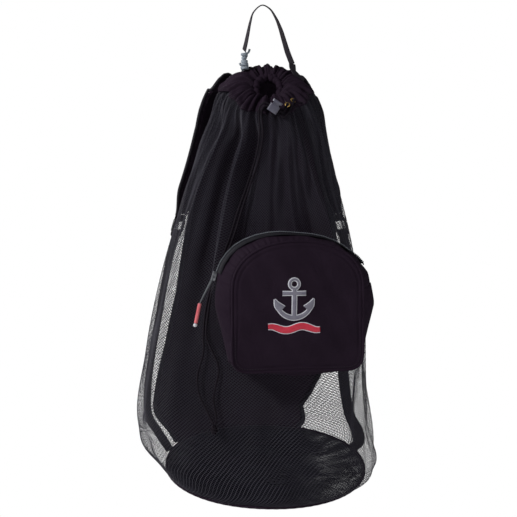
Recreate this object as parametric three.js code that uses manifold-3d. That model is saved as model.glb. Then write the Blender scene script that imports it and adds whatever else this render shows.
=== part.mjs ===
// Mesh dive gear bag, hanging by its haul loop.
//
// A net sack with a solid back panel and a round coated base is drawn up at the top by a cord that runs
// in the hem of a cloth collar. A zipped, arched pocket stands on the front and two shoulder straps hang
// on the back. Millimetres, +Z up, the front faces -Y, and the origin is the point of the haul loop
// where a hook bears.

import * as THREE from "three";
import { mergeVertices } from "three/addons/utils/BufferGeometryUtils.js";
import Module from "manifold-3d";

const wasm = await Module();
wasm.setup();

// Sack
const MOUTH_DROP = 126; // from the hook down to the crest of the gathered collar
const SACK_DROP = 658; // from the crest down to the seam of the base
const HALF_WIDTH = 200;
const HALF_DEPTH = 165;
const NET_WALL = 1.4;
const PANEL_WALL = 1.8;
const COLLAR_WALL = 1.8;
const BASE_WALL = 2;
const BASE_SAG = 16;
const BASE_PIPING = 5; // diameter of the piping round the base
const SEAM_TAPE = { width: 12, wall: 1.2 };
const SEAT = 0.3; // what sewn or resting pieces keep between them
const DRAPE = 1; // what a piece keeps more where it lies on curved cloth

// Drawstring, the hem it runs in, its eyelets and its cord lock. The lock's place is an angle round the
// sack and a level, and its lean turns the button's end towards the right.
const CORD = 3.5;
const STRAND_GAP = 0.7;
const HEM = 11;
const EYELETS = { angles: [29, 42], level: 2.35, outer: 9.6, wall: 1.2, stand: 1.4, depth: 2.2 };
const SOCKETS = { angles: [8, 52], depth: 4 }; // where the cord leaves its channel, under the collar's fold
const LOCK = { width: 18, depth: 13, height: 13, wall: 2, head: 4.5, travel: 3.5, corner: 3 };
const LOCK_PLACE = { angle: 13, level: 2.4, lift: 10, lean: 33 };
const RUNNING = 0.25; // clearance on each side of what slides or passes through
const END_KNOT = { width: 11, height: 17 };

// Haul loop and the knot at its left end
const TAPE = { width: 12, wall: 2 };
const LOOP_SEAT = { angle: 112, level: 1.7 };
const LOOP_KNOT = { angle: -136, level: 0.9, radius: 5 };

// Pocket, turned by yaw to the right about its middle
const POCKET = { width: 214, height: 211, rise: 78, corner: 22, wall: 1.8, dome: 9 };
const POCKET_PLACE = { x: 52, z: -482, yaw: 9, stand: 40 };
const POCKET_PIPING = 4.4;
const FOOT_INSET = 11; // how far the foot of the gusset stands inside the outline
const ZIP = { tape: 24, chain: 6, wall: 1.1, rise: 1.5, from: 2, to: 17, lane: 0.5 };
const SLIDER = { length: 15, width: 10, height: 6.6 };
const PULL_CORD = 1.8;
const PULL = { across: 22, drop: 44, out: 4, lean: 12 }; // where its grip hangs from the slider's hole
const GRIP = { length: 33, diameter: 5.8, bore: 4.6, socket: 6, bead: 6.8 };

// Shoulder straps, their webbing and the buckle rings between them
const STRAP = { width: 58, wall: 8 };
const WEBBING = { width: 25, wall: 1.8 };
const BUCKLE = { width: 35, height: 24, bar: 4 };
const HITCH = 7; // thickness of a webbing end where it is folded round a bar

// The sack's levels, from the drawn-up hem down to the seam of the base. drop is a share of SACK_DROP,
// shift, half and gather are shares of HALF_WIDTH, and depth is a share of HALF_DEPTH. square is the
// section's exponent, 2 for an ellipse. tilt lowers the front and roll lowers the right, in degrees.
const LEVELS = [
  { drop: 0.021, shift: 0.05, half: 0.105, depth: 0.19, square: 2.0, tilt: 42, roll: 0, gather: 0.005 },
  { drop: 0.0, shift: 0.045, half: 0.21, depth: 0.28, square: 2.0, tilt: 32, roll: 0, gather: 0.016 },
  { drop: 0.011, shift: 0.035, half: 0.31, depth: 0.36, square: 2.0, tilt: 27, roll: 0, gather: 0.02 },
  { drop: 0.043, shift: 0.03, half: 0.395, depth: 0.44, square: 2.0, tilt: 22, roll: 0, gather: 0.02 },
  { drop: 0.104, shift: 0.04, half: 0.463, depth: 0.51, square: 2.0, tilt: 16, roll: 0, gather: 0.013 },
  { drop: 0.181, shift: 0.015, half: 0.545, depth: 0.6, square: 2.1, tilt: 10, roll: 0, gather: 0.006 },
  { drop: 0.276, shift: -0.01, half: 0.63, depth: 0.68, square: 2.2, tilt: 6, roll: 0, gather: 0.002 },
  { drop: 0.411, shift: -0.01, half: 0.75, depth: 0.78, square: 2.4, tilt: 3, roll: 0, gather: 0 },
  { drop: 0.565, shift: -0.02, half: 0.86, depth: 0.86, square: 2.6, tilt: 2, roll: 0, gather: 0 },
  { drop: 0.718, shift: -0.06, half: 0.925, depth: 0.92, square: 2.6, tilt: 3, roll: 1, gather: 0 },
  { drop: 0.846, shift: -0.065, half: 0.975, depth: 0.97, square: 2.5, tilt: 6, roll: 2, gather: 0 },
  { drop: 0.923, shift: -0.04, half: 0.985, depth: 1.0, square: 2.4, tilt: 10, roll: 3, gather: 0 },
  { drop: 0.975, shift: 0.035, half: 0.935, depth: 0.99, square: 2.2, tilt: 13, roll: 2.6, gather: 0 },
  { drop: 1.0, shift: 0.03, half: 0.85, depth: 0.935, square: 2.1, tilt: 14, roll: 1.6, gather: 0 },
];
const COLLAR_SEAM = 3; // the level where the collar ends and the net begins
const BASE_SEAM = LEVELS.length - 1;
const GATHERS = 12; // pleats round the collar

// The long folds. Angles go round the sack in degrees, 0 at the front and 90 at the right. depth is a
// share of HALF_WIDTH, inwards, and each fold grows from one level, is whole at the next and dies away.
const FOLDS = [
  { name: "left valley", top: -34, foot: -31, spread: 8, depth: 0.095, from: 2.2, whole: 5, to: 10.5 },
  { name: "left ridge", top: -23, foot: -24, spread: 6, depth: -0.03, from: 2.5, whole: 5, to: 9 },
  { name: "middle valley", top: -12, foot: -17, spread: 6, depth: 0.055, from: 2.2, whole: 4.5, to: 8 },
  { name: "right valley", top: 38, foot: 46, spread: 6, depth: 0.045, from: 2.2, whole: 4, to: 7.5 },
  { name: "behind the pocket", top: 50, foot: 50, spread: 15, depth: -0.1, from: 5.5, whole: 7.8, to: 10.4 },
  { name: "right ridge", top: 54, foot: 56, spread: 7, depth: -0.02, from: 2.5, whole: 5, to: 8 },
  { name: "left shoulder", top: -62, foot: -68, spread: 8, depth: 0.045, from: 1.8, whole: 3.6, to: 5.6 },
  { name: "back left valley", top: -158, foot: -164, spread: 8, depth: 0.04, from: 5.4, whole: 7.5, to: 10.5 },
  { name: "back right valley", top: 160, foot: 166, spread: 8, depth: 0.04, from: 5.4, whole: 7.5, to: 10.5 },
];

// Where the back panel meets the net, in degrees either way from the middle of the back, by level.
const PANEL_EDGES = [
  { level: 3, left: 44, right: 40 },
  { level: 5, left: 54, right: 48 },
  { level: 6.5, left: 55, right: 53 },
  { level: 8, left: 49, right: 50 },
  { level: 9, left: 50, right: 41 },
  { level: 10, left: 55, right: 30 },
  { level: 11, left: 59, right: 22 },
  { level: 13, left: 62, right: 18 },
];

// How far the pocket's gusset bulges past its front panel, by the angle round the pocket, in degrees
// from its right. bulge is a share of half the pocket's width.
const GUSSET_BULGE = [
  { angle: 0, bulge: 0.25 },
  { angle: 45, bulge: 0.08 },
  { angle: 90, bulge: 0.12 },
  { angle: 135, bulge: 0.24 },
  { angle: 180, bulge: 0.3 },
  { angle: 225, bulge: 0.06 },
  { angle: 270, bulge: 0.15 },
  { angle: 315, bulge: 0.06 },
];

// The haul loop's tape from its knotted end over the hook, in shares of MOUTH_DROP. turn twists the
// tape, in degrees, and is 0 where it lies flat on the hook.
const LOOP_ROUTE = [
  { x: -0.24, y: 0.21, z: -0.6, turn: 30 },
  { x: -0.215, y: 0.17, z: -0.5, turn: 27 },
  { x: -0.185, y: 0.11, z: -0.36, turn: 22 },
  { x: -0.155, y: 0.06, z: -0.22, turn: 14 },
  { x: -0.11, y: 0.02, z: -0.09, turn: 5 },
  { x: 0, y: 0, z: 0, turn: 0 },
  { x: 0.1, y: 0.01, z: -0.045, turn: 5 },
  { x: 0.18, y: 0.04, z: -0.16, turn: 14 },
  { x: 0.245, y: 0.09, z: -0.31, turn: 26 },
  { x: 0.295, y: 0.16, z: -0.47, turn: 36 },
  { x: 0.345, y: 0.2, z: -0.63, turn: 44 },
  { x: 0.405, y: 0.22, z: -0.78, turn: 50 },
];

// A shoulder strap from its sewn root to its buckle and the webbing from there to the base. The angle is
// counted from the middle of the back towards the side, and lift is a share of HALF_DEPTH.
const STRAP_ROUTE = {
  left: [
    { angle: 25, level: 3.5, lift: 0.012 },
    { angle: 33, level: 3.25, lift: 0.075 },
    { angle: 44, level: 3.15, lift: 0.115 },
    { angle: 54, level: 3.45, lift: 0.115 },
    { angle: 57, level: 4.0, lift: 0.095 },
    { angle: 57, level: 4.6, lift: 0.07 },
    { angle: 56, level: 5.2, lift: 0.055 },
    { angle: 55.5, level: 5.8, lift: 0.055 },
    { angle: 57, level: 6.35, lift: 0.063 },
    { angle: 57.5, level: 6.7, lift: 0.065 },
  ],
  right: [
    { angle: 25, level: 3.5, lift: 0.012 },
    { angle: 32, level: 3.3, lift: 0.055 },
    { angle: 40, level: 3.25, lift: 0.075 },
    { angle: 45, level: 3.6, lift: 0.06 },
    { angle: 46, level: 4.1, lift: 0.05 },
    { angle: 46, level: 4.6, lift: 0.045 },
    { angle: 47, level: 5.2, lift: 0.045 },
    { angle: 49, level: 5.8, lift: 0.05 },
    { angle: 52, level: 6.35, lift: 0.057 },
    { angle: 54, level: 6.7, lift: 0.06 },
  ],
};
const WEBBING_ROUTE = {
  left: [
    { angle: 59, level: 7.15, lift: 0.075 },
    { angle: 61, level: 7.45, lift: 0.06 },
    { angle: 62, level: 8, lift: 0.04 },
    { angle: 61, level: 8.5, lift: 0.035 },
    { angle: 61, level: 9.2, lift: 0.035 },
    { angle: 62, level: 10, lift: 0.035 },
    { angle: 65, level: 11, lift: 0.03 },
    { angle: 69, level: 11.7, lift: 0.015 },
    { angle: 72, level: 12.3, lift: 0.0025 },
  ],
  right: [
    { angle: 57, level: 7.15, lift: 0.075 },
    { angle: 55, level: 7.45, lift: 0.06 },
    { angle: 52, level: 8, lift: 0.04 },
    { angle: 50, level: 8.5, lift: 0.035 },
    { angle: 48, level: 9.2, lift: 0.035 },
    { angle: 48, level: 10, lift: 0.035 },
    { angle: 50, level: 11, lift: 0.03 },
    { angle: 55, level: 11.7, lift: 0.015 },
    { angle: 60, level: 12.3, lift: 0.0025 },
  ],
};

// Where the two strands of the drawstring hang: chosen points of a cord, as angles and levels on the
// sack. They lie side by side down to the pocket's foot and part below it.
const STRAND_TOP = [
  { angle: -4.0, level: 3.8 },
  { angle: -5.2, level: 4.73 },
  { angle: -9.1, level: 5.61 },
  { angle: -15.8, level: 6.24 },
  { angle: -19.2, level: 6.71 },
  { angle: -23.6, level: 7.27 },
  { angle: -27.2, level: 7.6 },
  { angle: -28.7, level: 8.0 },
  { angle: -27.5, level: 8.35 },
];
const STRAND_FEET = {
  left: [
    { angle: -26.9, level: 8.6 },
    { angle: -27.9, level: 8.82 },
    { angle: -28.5, level: 9 },
    { angle: -26.7, level: 9.28 },
    { angle: -23.3, level: 9.5 },
    { angle: -19.7, level: 9.74 },
  ],
  right: [
    { angle: -22.1, level: 8.58 },
    { angle: -19.3, level: 8.72 },
    { angle: -17.9, level: 8.88 },
    { angle: -18.6, level: 9.06 },
    { angle: -19.5, level: 9.33 },
    { angle: -18.3, level: 9.55 },
    { angle: -17.7, level: 9.74 },
  ],
};
const KNOT_PLACE = { angle: -18.6, level: 9.9 };

// Materials
const cloth = (color, roughness = 0.9) => new THREE.MeshStandardMaterial({ color, roughness, metalness: 0 });
const MATERIALS = {
  net: cloth(0x24242a, 0.7),
  nylon: cloth(0x1f1a22, 0.85),
  coated: cloth(0x24242b, 0.35),
  webbing: cloth(0x1c1a1f, 0.8),
  cord: cloth(0x2a2830, 0.8),
  greyCord: cloth(0x8a9298, 0.85),
  plastic: cloth(0x6c6a7c, 0.4),
  red: cloth(0xc23a45, 0.45),
  zip: cloth(0x35383f, 0.5),
  brass: new THREE.MeshStandardMaterial({ color: 0xc9964a, roughness: 0.3, metalness: 1 }),
  steel: new THREE.MeshStandardMaterial({ color: 0x50535a, roughness: 0.4, metalness: 1 }),
};

const bag = new THREE.Group();
const { degToRad, lerp, smoothstep } = THREE.MathUtils;

// Adds one sub-part: a geometry or a manifold solid, under its own name.
function add(name, solid, material) {
  const geometry = solid.isBufferGeometry ? solid : geometryOf(solid);
  geometry.computeVertexNormals();
  const mesh = new THREE.Mesh(geometry, material);
  mesh.name = name;
  bag.add(mesh);
  return mesh;
}

// The value of one column of a table at a fractional row, on a smooth curve through the rows.
function column(rows, key, at) {
  const i = Math.min(Math.max(Math.floor(at), 0), rows.length - 2);
  const t = at - i;
  const p = (n) => rows[Math.min(Math.max(i + n, 0), rows.length - 1)][key];
  const slope = (n) => (p(n + 1) - p(n - 1)) / 2;
  const t2 = t * t;
  const t3 = t2 * t;
  const here = (2 * t3 - 3 * t2 + 1) * p(0) + (t3 - 2 * t2 + t) * slope(0);
  return here + (3 * t2 - 2 * t3) * p(1) + (t3 - t2) * slope(1);
}

// The value of one column where another column has a given value, straight between the rows.
function lookUp(rows, by, key, at) {
  const next = rows.findIndex((row) => row[by] >= at);
  if (next <= 0) return rows[next === 0 ? 0 : rows.length - 1][key];
  const [a, b] = [rows[next - 1], rows[next]];
  return lerp(a[key], b[key], (at - a[by]) / (b[by] - a[by]));
}

// How deep the folds are at a place on the sack, as a share of HALF_WIDTH, inwards.
function foldDepth(angle, level) {
  let depth = -column(LEVELS, "gather", level) * Math.cos(degToRad(GATHERS * angle));
  for (const fold of FOLDS) {
    const along = (level - fold.from) / (fold.to - fold.from);
    const middle = lerp(fold.top, fold.foot, Math.min(Math.max(along, 0), 1));
    const off = ((((angle - middle + 180) % 360) + 360) % 360) - 180;
    const grown = smoothstep(level, fold.from, fold.whole) * (1 - smoothstep(level, fold.whole, fold.to));
    depth += fold.depth * grown * Math.exp(-((off / fold.spread) ** 2));
  }
  return depth;
}

// The middle of the sack's wall at an angle round it and a level.
function sackPoint(angle, level) {
  const half = column(LEVELS, "half", level) * HALF_WIDTH;
  const depth = column(LEVELS, "depth", level) * HALF_DEPTH;
  const square = column(LEVELS, "square", level);
  const tilt = degToRad(column(LEVELS, "tilt", level));
  const roll = degToRad(column(LEVELS, "roll", level));
  const [s, c] = [Math.sin(degToRad(angle)), Math.cos(degToRad(angle))];
  const out = (Math.abs(s) ** square + Math.abs(c) ** square) ** (-1 / square);
  const folded = 1 - (foldDepth(angle, level) * HALF_WIDTH) / Math.min(half, depth);
  const x = half * s * out * folded;
  const y = -depth * c * out * folded;
  return new THREE.Vector3(
    column(LEVELS, "shift", level) * HALF_WIDTH + x * Math.cos(roll),
    y * Math.cos(tilt),
    -MOUTH_DROP - column(LEVELS, "drop", level) * SACK_DROP + y * Math.sin(tilt) - x * Math.sin(roll),
  );
}

// The mean radius of a level, to turn a length along it into an angle.
const levelRadius = (level) =>
  (column(LEVELS, "half", level) * HALF_WIDTH + column(LEVELS, "depth", level) * HALF_DEPTH) / 2;

const degreesOf = (length, level) => THREE.MathUtils.radToDeg(length / levelRadius(level));

// A geometry from corner points and triangles, without the triangles that have no area.
function geometryFrom(points, triangles) {
  const same = (a, b) => points[a].distanceToSquared(points[b]) < 1e-8;
  const kept = triangles.filter(([a, b, c]) => !same(a, b) && !same(b, c) && !same(c, a));
  const geometry = new THREE.BufferGeometry().setFromPoints(points);
  return mergeVertices(geometry.setIndex(kept.flat()), 1e-3);
}

function solidOf(geometry) {
  const bare = geometry.clone();
  bare.deleteAttribute("normal");
  bare.deleteAttribute("uv");
  const merged = mergeVertices(bare, 1e-3);
  const mesh = new wasm.Mesh({
    numProp: 3,
    vertProperties: merged.attributes.position.array,
    triVerts: new Uint32Array(merged.index.array),
  });
  return new wasm.Manifold(mesh);
}

function geometryOf(solid) {
  const { numProp, vertProperties, triVerts, numVert } = solid.getMesh();
  const positions = new Float32Array(numVert * 3);
  for (let i = 0; i < numVert; i++) {
    positions.set(vertProperties.subarray(i * numProp, i * numProp + 3), i * 3);
  }
  return new THREE.BufferGeometry()
    .setAttribute("position", new THREE.BufferAttribute(positions, 3))
    .setIndex(new THREE.BufferAttribute(new Uint32Array(triVerts), 1));
}

// The numbers from a to b in equal steps, both ends among them.
const steps = (a, b, count) => Array.from({ length: count + 1 }, (_, i) => lerp(a, b, i / count));

// The corners of a circle drawn with straight sides.
const circle = (diameter, sides) =>
  steps(0, 2 * Math.PI, sides)
    .slice(0, -1)
    .map((turn) => [(diameter / 2) * Math.cos(turn), (diameter / 2) * Math.sin(turn)]);

// A wall of cloth along a surface: point(u, v) is its middle, and it reaches from offset low to offset
// high on the surface's normal, or on one fixed direction. A closed wall meets itself in u.
function wall(point, us, vs, low, high, { closed = false, along = null } = {}) {
  const small = 1e-3;
  const normal = (u, v) => {
    if (along) return along;
    const du = point(u + small, v).sub(point(u - small, v));
    const dv = point(u, v + small).sub(point(u, v - small));
    return du.cross(dv).normalize();
  };
  const columns = closed ? us.slice(0, -1) : us;
  const layers = [high, low].map((offset) =>
    vs.map((v) => columns.map((u) => point(u, v).addScaledVector(normal(u, v), offset))),
  );
  const [nu, nv] = [columns.length, vs.length];
  const spans = closed ? nu : nu - 1;
  const at = (layer, i, j) => layer * nu * nv + j * nu + (i % nu);
  const triangles = [];
  const quad = (a, b, c, d) => triangles.push([a, b, c], [a, c, d]);
  for (let j = 0; j < nv - 1; j++) {
    for (let i = 0; i < spans; i++) {
      quad(at(0, i, j), at(0, i + 1, j), at(0, i + 1, j + 1), at(0, i, j + 1));
      quad(at(1, i, j + 1), at(1, i + 1, j + 1), at(1, i + 1, j), at(1, i, j));
    }
    if (closed) continue;
    quad(at(0, 0, j), at(0, 0, j + 1), at(1, 0, j + 1), at(1, 0, j));
    quad(at(0, nu - 1, j + 1), at(0, nu - 1, j), at(1, nu - 1, j), at(1, nu - 1, j + 1));
  }
  for (let i = 0; i < spans; i++) {
    quad(at(0, i + 1, 0), at(0, i, 0), at(1, i, 0), at(1, i + 1, 0));
    quad(at(0, i, nv - 1), at(0, i + 1, nv - 1), at(1, i + 1, nv - 1), at(1, i, nv - 1));
  }
  return geometryFrom(layers.flat(2), triangles);
}

// A closed ring of cord along point(u), u from 0 to 360, that lies roughly across one direction.
function hoop(point, diameter, count, sides, across) {
  const turns = steps(0, 360, count).slice(0, -1);
  const points = turns.flatMap((u) => {
    const tangent = point(u + 1e-2).sub(point(u - 1e-2)).normalize();
    const side = tangent.clone().cross(across).normalize();
    const up = side.clone().cross(tangent);
    return circle(diameter, sides).map(([x, y]) => point(u).addScaledVector(side, x).addScaledVector(up, y));
  });
  const at = (i, j) => (i % count) * sides + (j % sides);
  const triangles = [];
  for (let i = 0; i < count; i++) {
    for (let j = 0; j < sides; j++) {
      triangles.push([at(i, j), at(i + 1, j), at(i + 1, j + 1)], [at(i, j), at(i + 1, j + 1), at(i, j + 1)]);
    }
  }
  return geometryFrom(points, triangles);
}

// A bar through a row of sections, each a ring of points, closed at both ends. The first point of each
// ring is the start of its fan, so the rings are convex.
function loft(rings) {
  const n = rings[0].length;
  const last = rings.length - 1;
  const triangles = [];
  rings.slice(1).forEach((_, j) => {
    for (let i = 0; i < n; i++) {
      const k = (i + 1) % n;
      triangles.push([j * n + i, j * n + k, (j + 1) * n + k], [j * n + i, (j + 1) * n + k, (j + 1) * n + i]);
    }
  });
  for (let i = 1; i < n - 1; i++) {
    triangles.push([0, i + 1, i], [last * n, last * n + i, last * n + i + 1]);
  }
  return geometryFrom(rings.flat(), triangles);
}

// A cord along a curve, with flat ends.
function cordAlong(curve, diameter, count, sides = 8) {
  const section = new THREE.Shape(circle(diameter, sides).map(([x, y]) => new THREE.Vector2(x, y)));
  return new THREE.ExtrudeGeometry(section, { steps: count, extrudePath: curve, bevelEnabled: false });
}

const curveThrough = (points) => new THREE.CatmullRomCurve3(points, false, "centripetal");

// Sack: net, back panel, collar, base and the tapes over the side seams

const edgeAngle = (side, level) => {
  const from = lookUp(PANEL_EDGES, "level", side, level);
  return side === "left" ? -180 + from : 180 - from;
};

// The net goes round the front from one side seam to the other, and the panel fills the back.
function netPoint(u, level) {
  const gap = degreesOf(SEAT, level);
  return sackPoint(lerp(edgeAngle("left", level) + gap, edgeAngle("right", level) - gap, u), level);
}

function panelPoint(u, level) {
  const gap = degreesOf(SEAT, level);
  return sackPoint(lerp(edgeAngle("right", level) + gap, edgeAngle("left", level) + 360 - gap, u), level);
}

// The levels at which a seam is held clear: what SEAT and the piping take, as a part of a level, where the
// levels lie closest together.
const heightAt = (angle, level) =>
  sackPoint(angle, level - 0.05).distanceTo(sackPoint(angle, level + 0.05)) / 0.1;
const perLevel = (level) => Math.min(...steps(0, 360, 24).map((angle) => heightAt(angle, level)));
const collarFoot = COLLAR_SEAM - (SEAT + DRAPE) / 2 / perLevel(COLLAR_SEAM);
const netTop = COLLAR_SEAM + (SEAT + DRAPE) / 2 / perLevel(COLLAR_SEAM);
const netFoot = BASE_SEAM - (BASE_PIPING / 2 + SEAT + DRAPE) / perLevel(BASE_SEAM - 0.2);
const sackLevels = [netTop, 3.5, 4, 4.6, 5.3, 6, 7, 8, 9, 10, 11, 11.6, 12.2, netFoot];
const upwards = (levels) => levels.map((level) => -level).reverse();

function netWall(grow = 0) {
  const half = NET_WALL / 2 + grow;
  return wall((u, v) => netPoint(u, -v), steps(0, 1, 36), upwards(sackLevels), -half, half);
}

function panelWall(grow = 0) {
  const half = PANEL_WALL / 2 + grow;
  return wall((u, v) => panelPoint(u, -v), steps(0, 1, 14), upwards(sackLevels), -half, half);
}

add("net", netWall(), MATERIALS.net);
add("back_panel", panelWall(), MATERIALS.nylon);

// A tape lies over each side seam, on the outside.
for (const side of ["left", "right"]) {
  const low = PANEL_WALL / 2 + SEAT + 1.12 * DRAPE;
  const strip = (u, v) => {
    const half = degreesOf(SEAM_TAPE.width / 2, -v);
    return sackPoint(edgeAngle(side, -v) + u * half, -v);
  };
  const tape = wall(strip, [-1, 0, 1], upwards(sackLevels), low, low + SEAM_TAPE.wall);
  add(`seam_tape_${side}`, tape, MATERIALS.webbing);
}

// The base hangs in a shallow dome inside its piping. share is 1 at the seam and 0 in the middle.
const baseMiddle = sackPoint(0, BASE_SEAM).add(sackPoint(180, BASE_SEAM)).multiplyScalar(0.5);
const [baseRight, baseBack] = [90, 180].map((angle) => sackPoint(angle, BASE_SEAM).sub(baseMiddle));
const baseUp = baseRight.cross(baseBack).normalize();

function basePoint(angle, share) {
  const point = baseMiddle.clone().lerp(sackPoint(angle, BASE_SEAM), share);
  return point.addScaledVector(baseUp, -BASE_SAG * (1 - share * share));
}

const baseRim = 1 - (BASE_PIPING / 2 + SEAT + DRAPE / 3) / levelRadius(BASE_SEAM);
const base = wall(
  (u, v) => basePoint(u, -v),
  steps(0, 360, 40),
  [-baseRim, -0.7, 0],
  -BASE_WALL / 2,
  BASE_WALL / 2,
  { closed: true, along: baseUp },
);
add("base", base, MATERIALS.coated);
add("base_piping", hoop((u) => sackPoint(u, BASE_SEAM), BASE_PIPING, 40, 6, baseUp), MATERIALS.coated);

// Collar: one wall of cloth gathered round the mouth, with the channel of the drawstring at its top

const hemPoint = (angle) => sackPoint(angle, 0);
const hemUp = hemPoint(90).sub(hemPoint(0)).cross(hemPoint(180).sub(hemPoint(0))).normalize();
const hem = solidOf(hoop(hemPoint, HEM, 40, 6, hemUp));
const collarHalf = COLLAR_WALL / 2;
const collarBand = wall(
  (u, v) => sackPoint(u, -v),
  steps(0, 360, 48),
  [-collarFoot, -2.2, -1.3, -0.3],
  -collarHalf,
  collarHalf,
  { closed: true },
);

// A frame on the sack: its place, the way out, the way up along the cloth and the way to the right.
function placeOn(angle, level, lift = 0) {
  const small = 1e-2;
  const right = sackPoint(angle + small, level).sub(sackPoint(angle - small, level)).normalize();
  const up = sackPoint(angle, level - small).sub(sackPoint(angle, level + small)).normalize();
  const out = right.clone().cross(up).normalize();
  const rise = out.clone().cross(right).normalize();
  return { at: sackPoint(angle, level).addScaledVector(out, lift), right, up: rise, out };
}

// The same for the hem's channel, whose way out points away from the mouth and a little forwards.
function hemFrame(angle) {
  const at = hemPoint(angle);
  const right = hemPoint(angle + 1).sub(hemPoint(angle - 1)).normalize();
  const out = right.clone().cross(hemUp).normalize();
  return { at, right, up: hemUp.clone(), out };
}

// A point given in a frame: x to its right, y up and z out.
const inside = ({ at, right, up, out }, x, y, z) =>
  at.clone().addScaledVector(right, x).addScaledVector(up, y).addScaledVector(out, z);

// Puts a solid made about its own axes where a frame says.
function inFrame(solid, { right, up, out, at }) {
  const m = new THREE.Matrix4().makeBasis(right, up, out).setPosition(at);
  return solid.transform(m.elements);
}

// A straight round bar along z, from low to high.
function bar(diameter, low, high, sides = 12) {
  const ring = (z) => circle(diameter, sides).map(([x, y]) => new THREE.Vector3(x, y, z));
  return solidOf(loft([ring(low), ring(high)]));
}

// A block with rounded corners across z, from low to high.
function block(width, height, corner, low, high, turns = 3) {
  const ring = (z) => {
    const points = [];
    for (const [sx, sy, from] of [[1, -1, -90], [1, 1, 0], [-1, 1, 90], [-1, -1, 180]]) {
      for (const turn of corner > 0 ? steps(from, from + 90, turns) : [from]) {
        const x = sx * (width / 2 - corner) + corner * Math.cos(degToRad(turn));
        const y = sy * (height / 2 - corner) + corner * Math.sin(degToRad(turn));
        points.push(new THREE.Vector3(x, y, z));
      }
    }
    return points;
  };
  return solidOf(loft([ring(low), ring(high)]));
}

const bore = CORD + 6 * RUNNING;
const hemSocket = (i) => hemFrame(SOCKETS.angles[i]);
const eyeletPlace = (i) => placeOn(EYELETS.angles[i], EYELETS.level);
let collar = solidOf(collarBand).add(hem);
EYELETS.angles.forEach((angle, i) => {
  const frame = eyeletPlace(i);
  const barrel = bore + 2 * EYELETS.wall;
  const seat = COLLAR_WALL / 2 + SEAT + DRAPE;
  const eyelet = bar(barrel, -EYELETS.depth, seat + EYELETS.stand)
    .add(bar(EYELETS.outer, seat, seat + EYELETS.stand))
    .subtract(bar(bore, -HEM, HEM));
  add(`eyelet_${i + 1}`, inFrame(eyelet, frame), MATERIALS.brass);
  collar = collar
    .subtract(inFrame(bar(barrel + 2 * SEAT, -EYELETS.depth - 2, HEM / 2), frame))
    .subtract(inFrame(bar(bore, HEM / 2 - SOCKETS.depth, HEM), hemSocket(i)));
});
add("collar", collar, MATERIALS.nylon);

// Drawstring: two strands from the eyelets through the cord lock and down the front to one knot

// The lock hangs upright before the collar, with its button leaned to the right.
const lockOut = new THREE.Vector3(0, -1, 0);
const lockUp = new THREE.Vector3(Math.sin(degToRad(LOCK_PLACE.lean)), 0, Math.cos(degToRad(LOCK_PLACE.lean)));
const lockLift = COLLAR_WALL / 2 + LOCK_PLACE.lift + LOCK.depth / 2;
const lockFrame = {
  at: placeOn(LOCK_PLACE.angle, LOCK_PLACE.level).at.addScaledVector(lockOut, lockLift),
  right: lockUp.clone().cross(lockOut),
  up: lockUp,
  out: lockOut,
};
const lockPoint = (x, y, z = 0) => inside(lockFrame, x, y, z);

// In the lock's own frame y is the way the button slides, and the cords pass along x one above the other.
const lockLow = -(LOCK.height + LOCK.travel + LOCK.head) / 2;
const lockTop = lockLow + LOCK.height;
const passage = { width: CORD + 4 * RUNNING, height: 2 * CORD + STRAND_GAP + 2 * RUNNING };
const passageLow = lockLow + LOCK.wall + SEAT;
const cordHeights = [
  passageLow + RUNNING + CORD / 2 + CORD + STRAND_GAP,
  passageLow + RUNNING + CORD / 2,
];
const boreDepth = LOCK.depth - 2 * LOCK.wall;
const boreWidth = LOCK.width - 3 * LOCK.wall;

// A box in the lock's own frame, from corner to corner.
const lockBox = (x0, x1, y0, y1, z0, z1) =>
  block(x1 - x0, z1 - z0, 0, y0, y1).rotate([-90, 0, 0]).translate([(x0 + x1) / 2, 0, (z0 + z1) / 2]);

// A rounded block that stands along y in the lock's own frame.
const lockBlock = (width, depth, low, high) => block(width, depth, LOCK.corner, low, high).rotate([-90, 0, 0]);

const throughBody = lockBox(
  -LOCK.width,
  LOCK.width,
  passageLow,
  passageLow + passage.height,
  -passage.width / 2,
  passage.width / 2,
);
const lockBore = lockBox(
  -boreWidth / 2,
  boreWidth / 2,
  lockLow + LOCK.wall,
  lockTop + 1,
  -boreDepth / 2,
  boreDepth / 2,
);
const lockBody = lockBlock(LOCK.width, LOCK.depth, lockLow, lockTop)
  .subtract(lockBore)
  .subtract(throughBody);
add("cord_lock_body", inFrame(lockBody, lockFrame), MATERIALS.plastic);

// The button's two prongs straddle the cords, and end above the foot by the button's travel.
const headLow = lockTop + SEAT + LOCK.travel;
const prongLow = lockLow + LOCK.wall + SEAT + LOCK.travel;
const crotch = passageLow + passage.height + LOCK.travel + SEAT;
const stem = [boreWidth / 2 - RUNNING, boreDepth / 2 - RUNNING];
const button = lockBox(-stem[0], stem[0], prongLow, headLow + 1, -stem[1], stem[1])
  .subtract(lockBox(-LOCK.width, LOCK.width, prongLow - 1, crotch, -passage.width / 2, passage.width / 2))
  .add(lockBlock(LOCK.width - 2 * RUNNING, LOCK.depth - 2 * RUNNING, headLow, headLow + LOCK.head));
add("cord_lock_button", inFrame(button, lockFrame), MATERIALS.plastic);

// Each strand starts in its eyelet, passes through the lock and hangs on the sack down to the knot.
const knotFrame = placeOn(KNOT_PLACE.angle, KNOT_PLACE.level, NET_WALL / 2 + DRAPE + END_KNOT.width / 2);
knotFrame.up = new THREE.Vector3(0, 0, 1);
knotFrame.right = knotFrame.up.clone().cross(knotFrame.out).normalize();
knotFrame.out = knotFrame.right.clone().cross(knotFrame.up);
const hangLift = NET_WALL / 2 + SEAT + 3 * DRAPE + CORD / 2;
const strandHalf = (CORD + STRAND_GAP) / 2;

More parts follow.
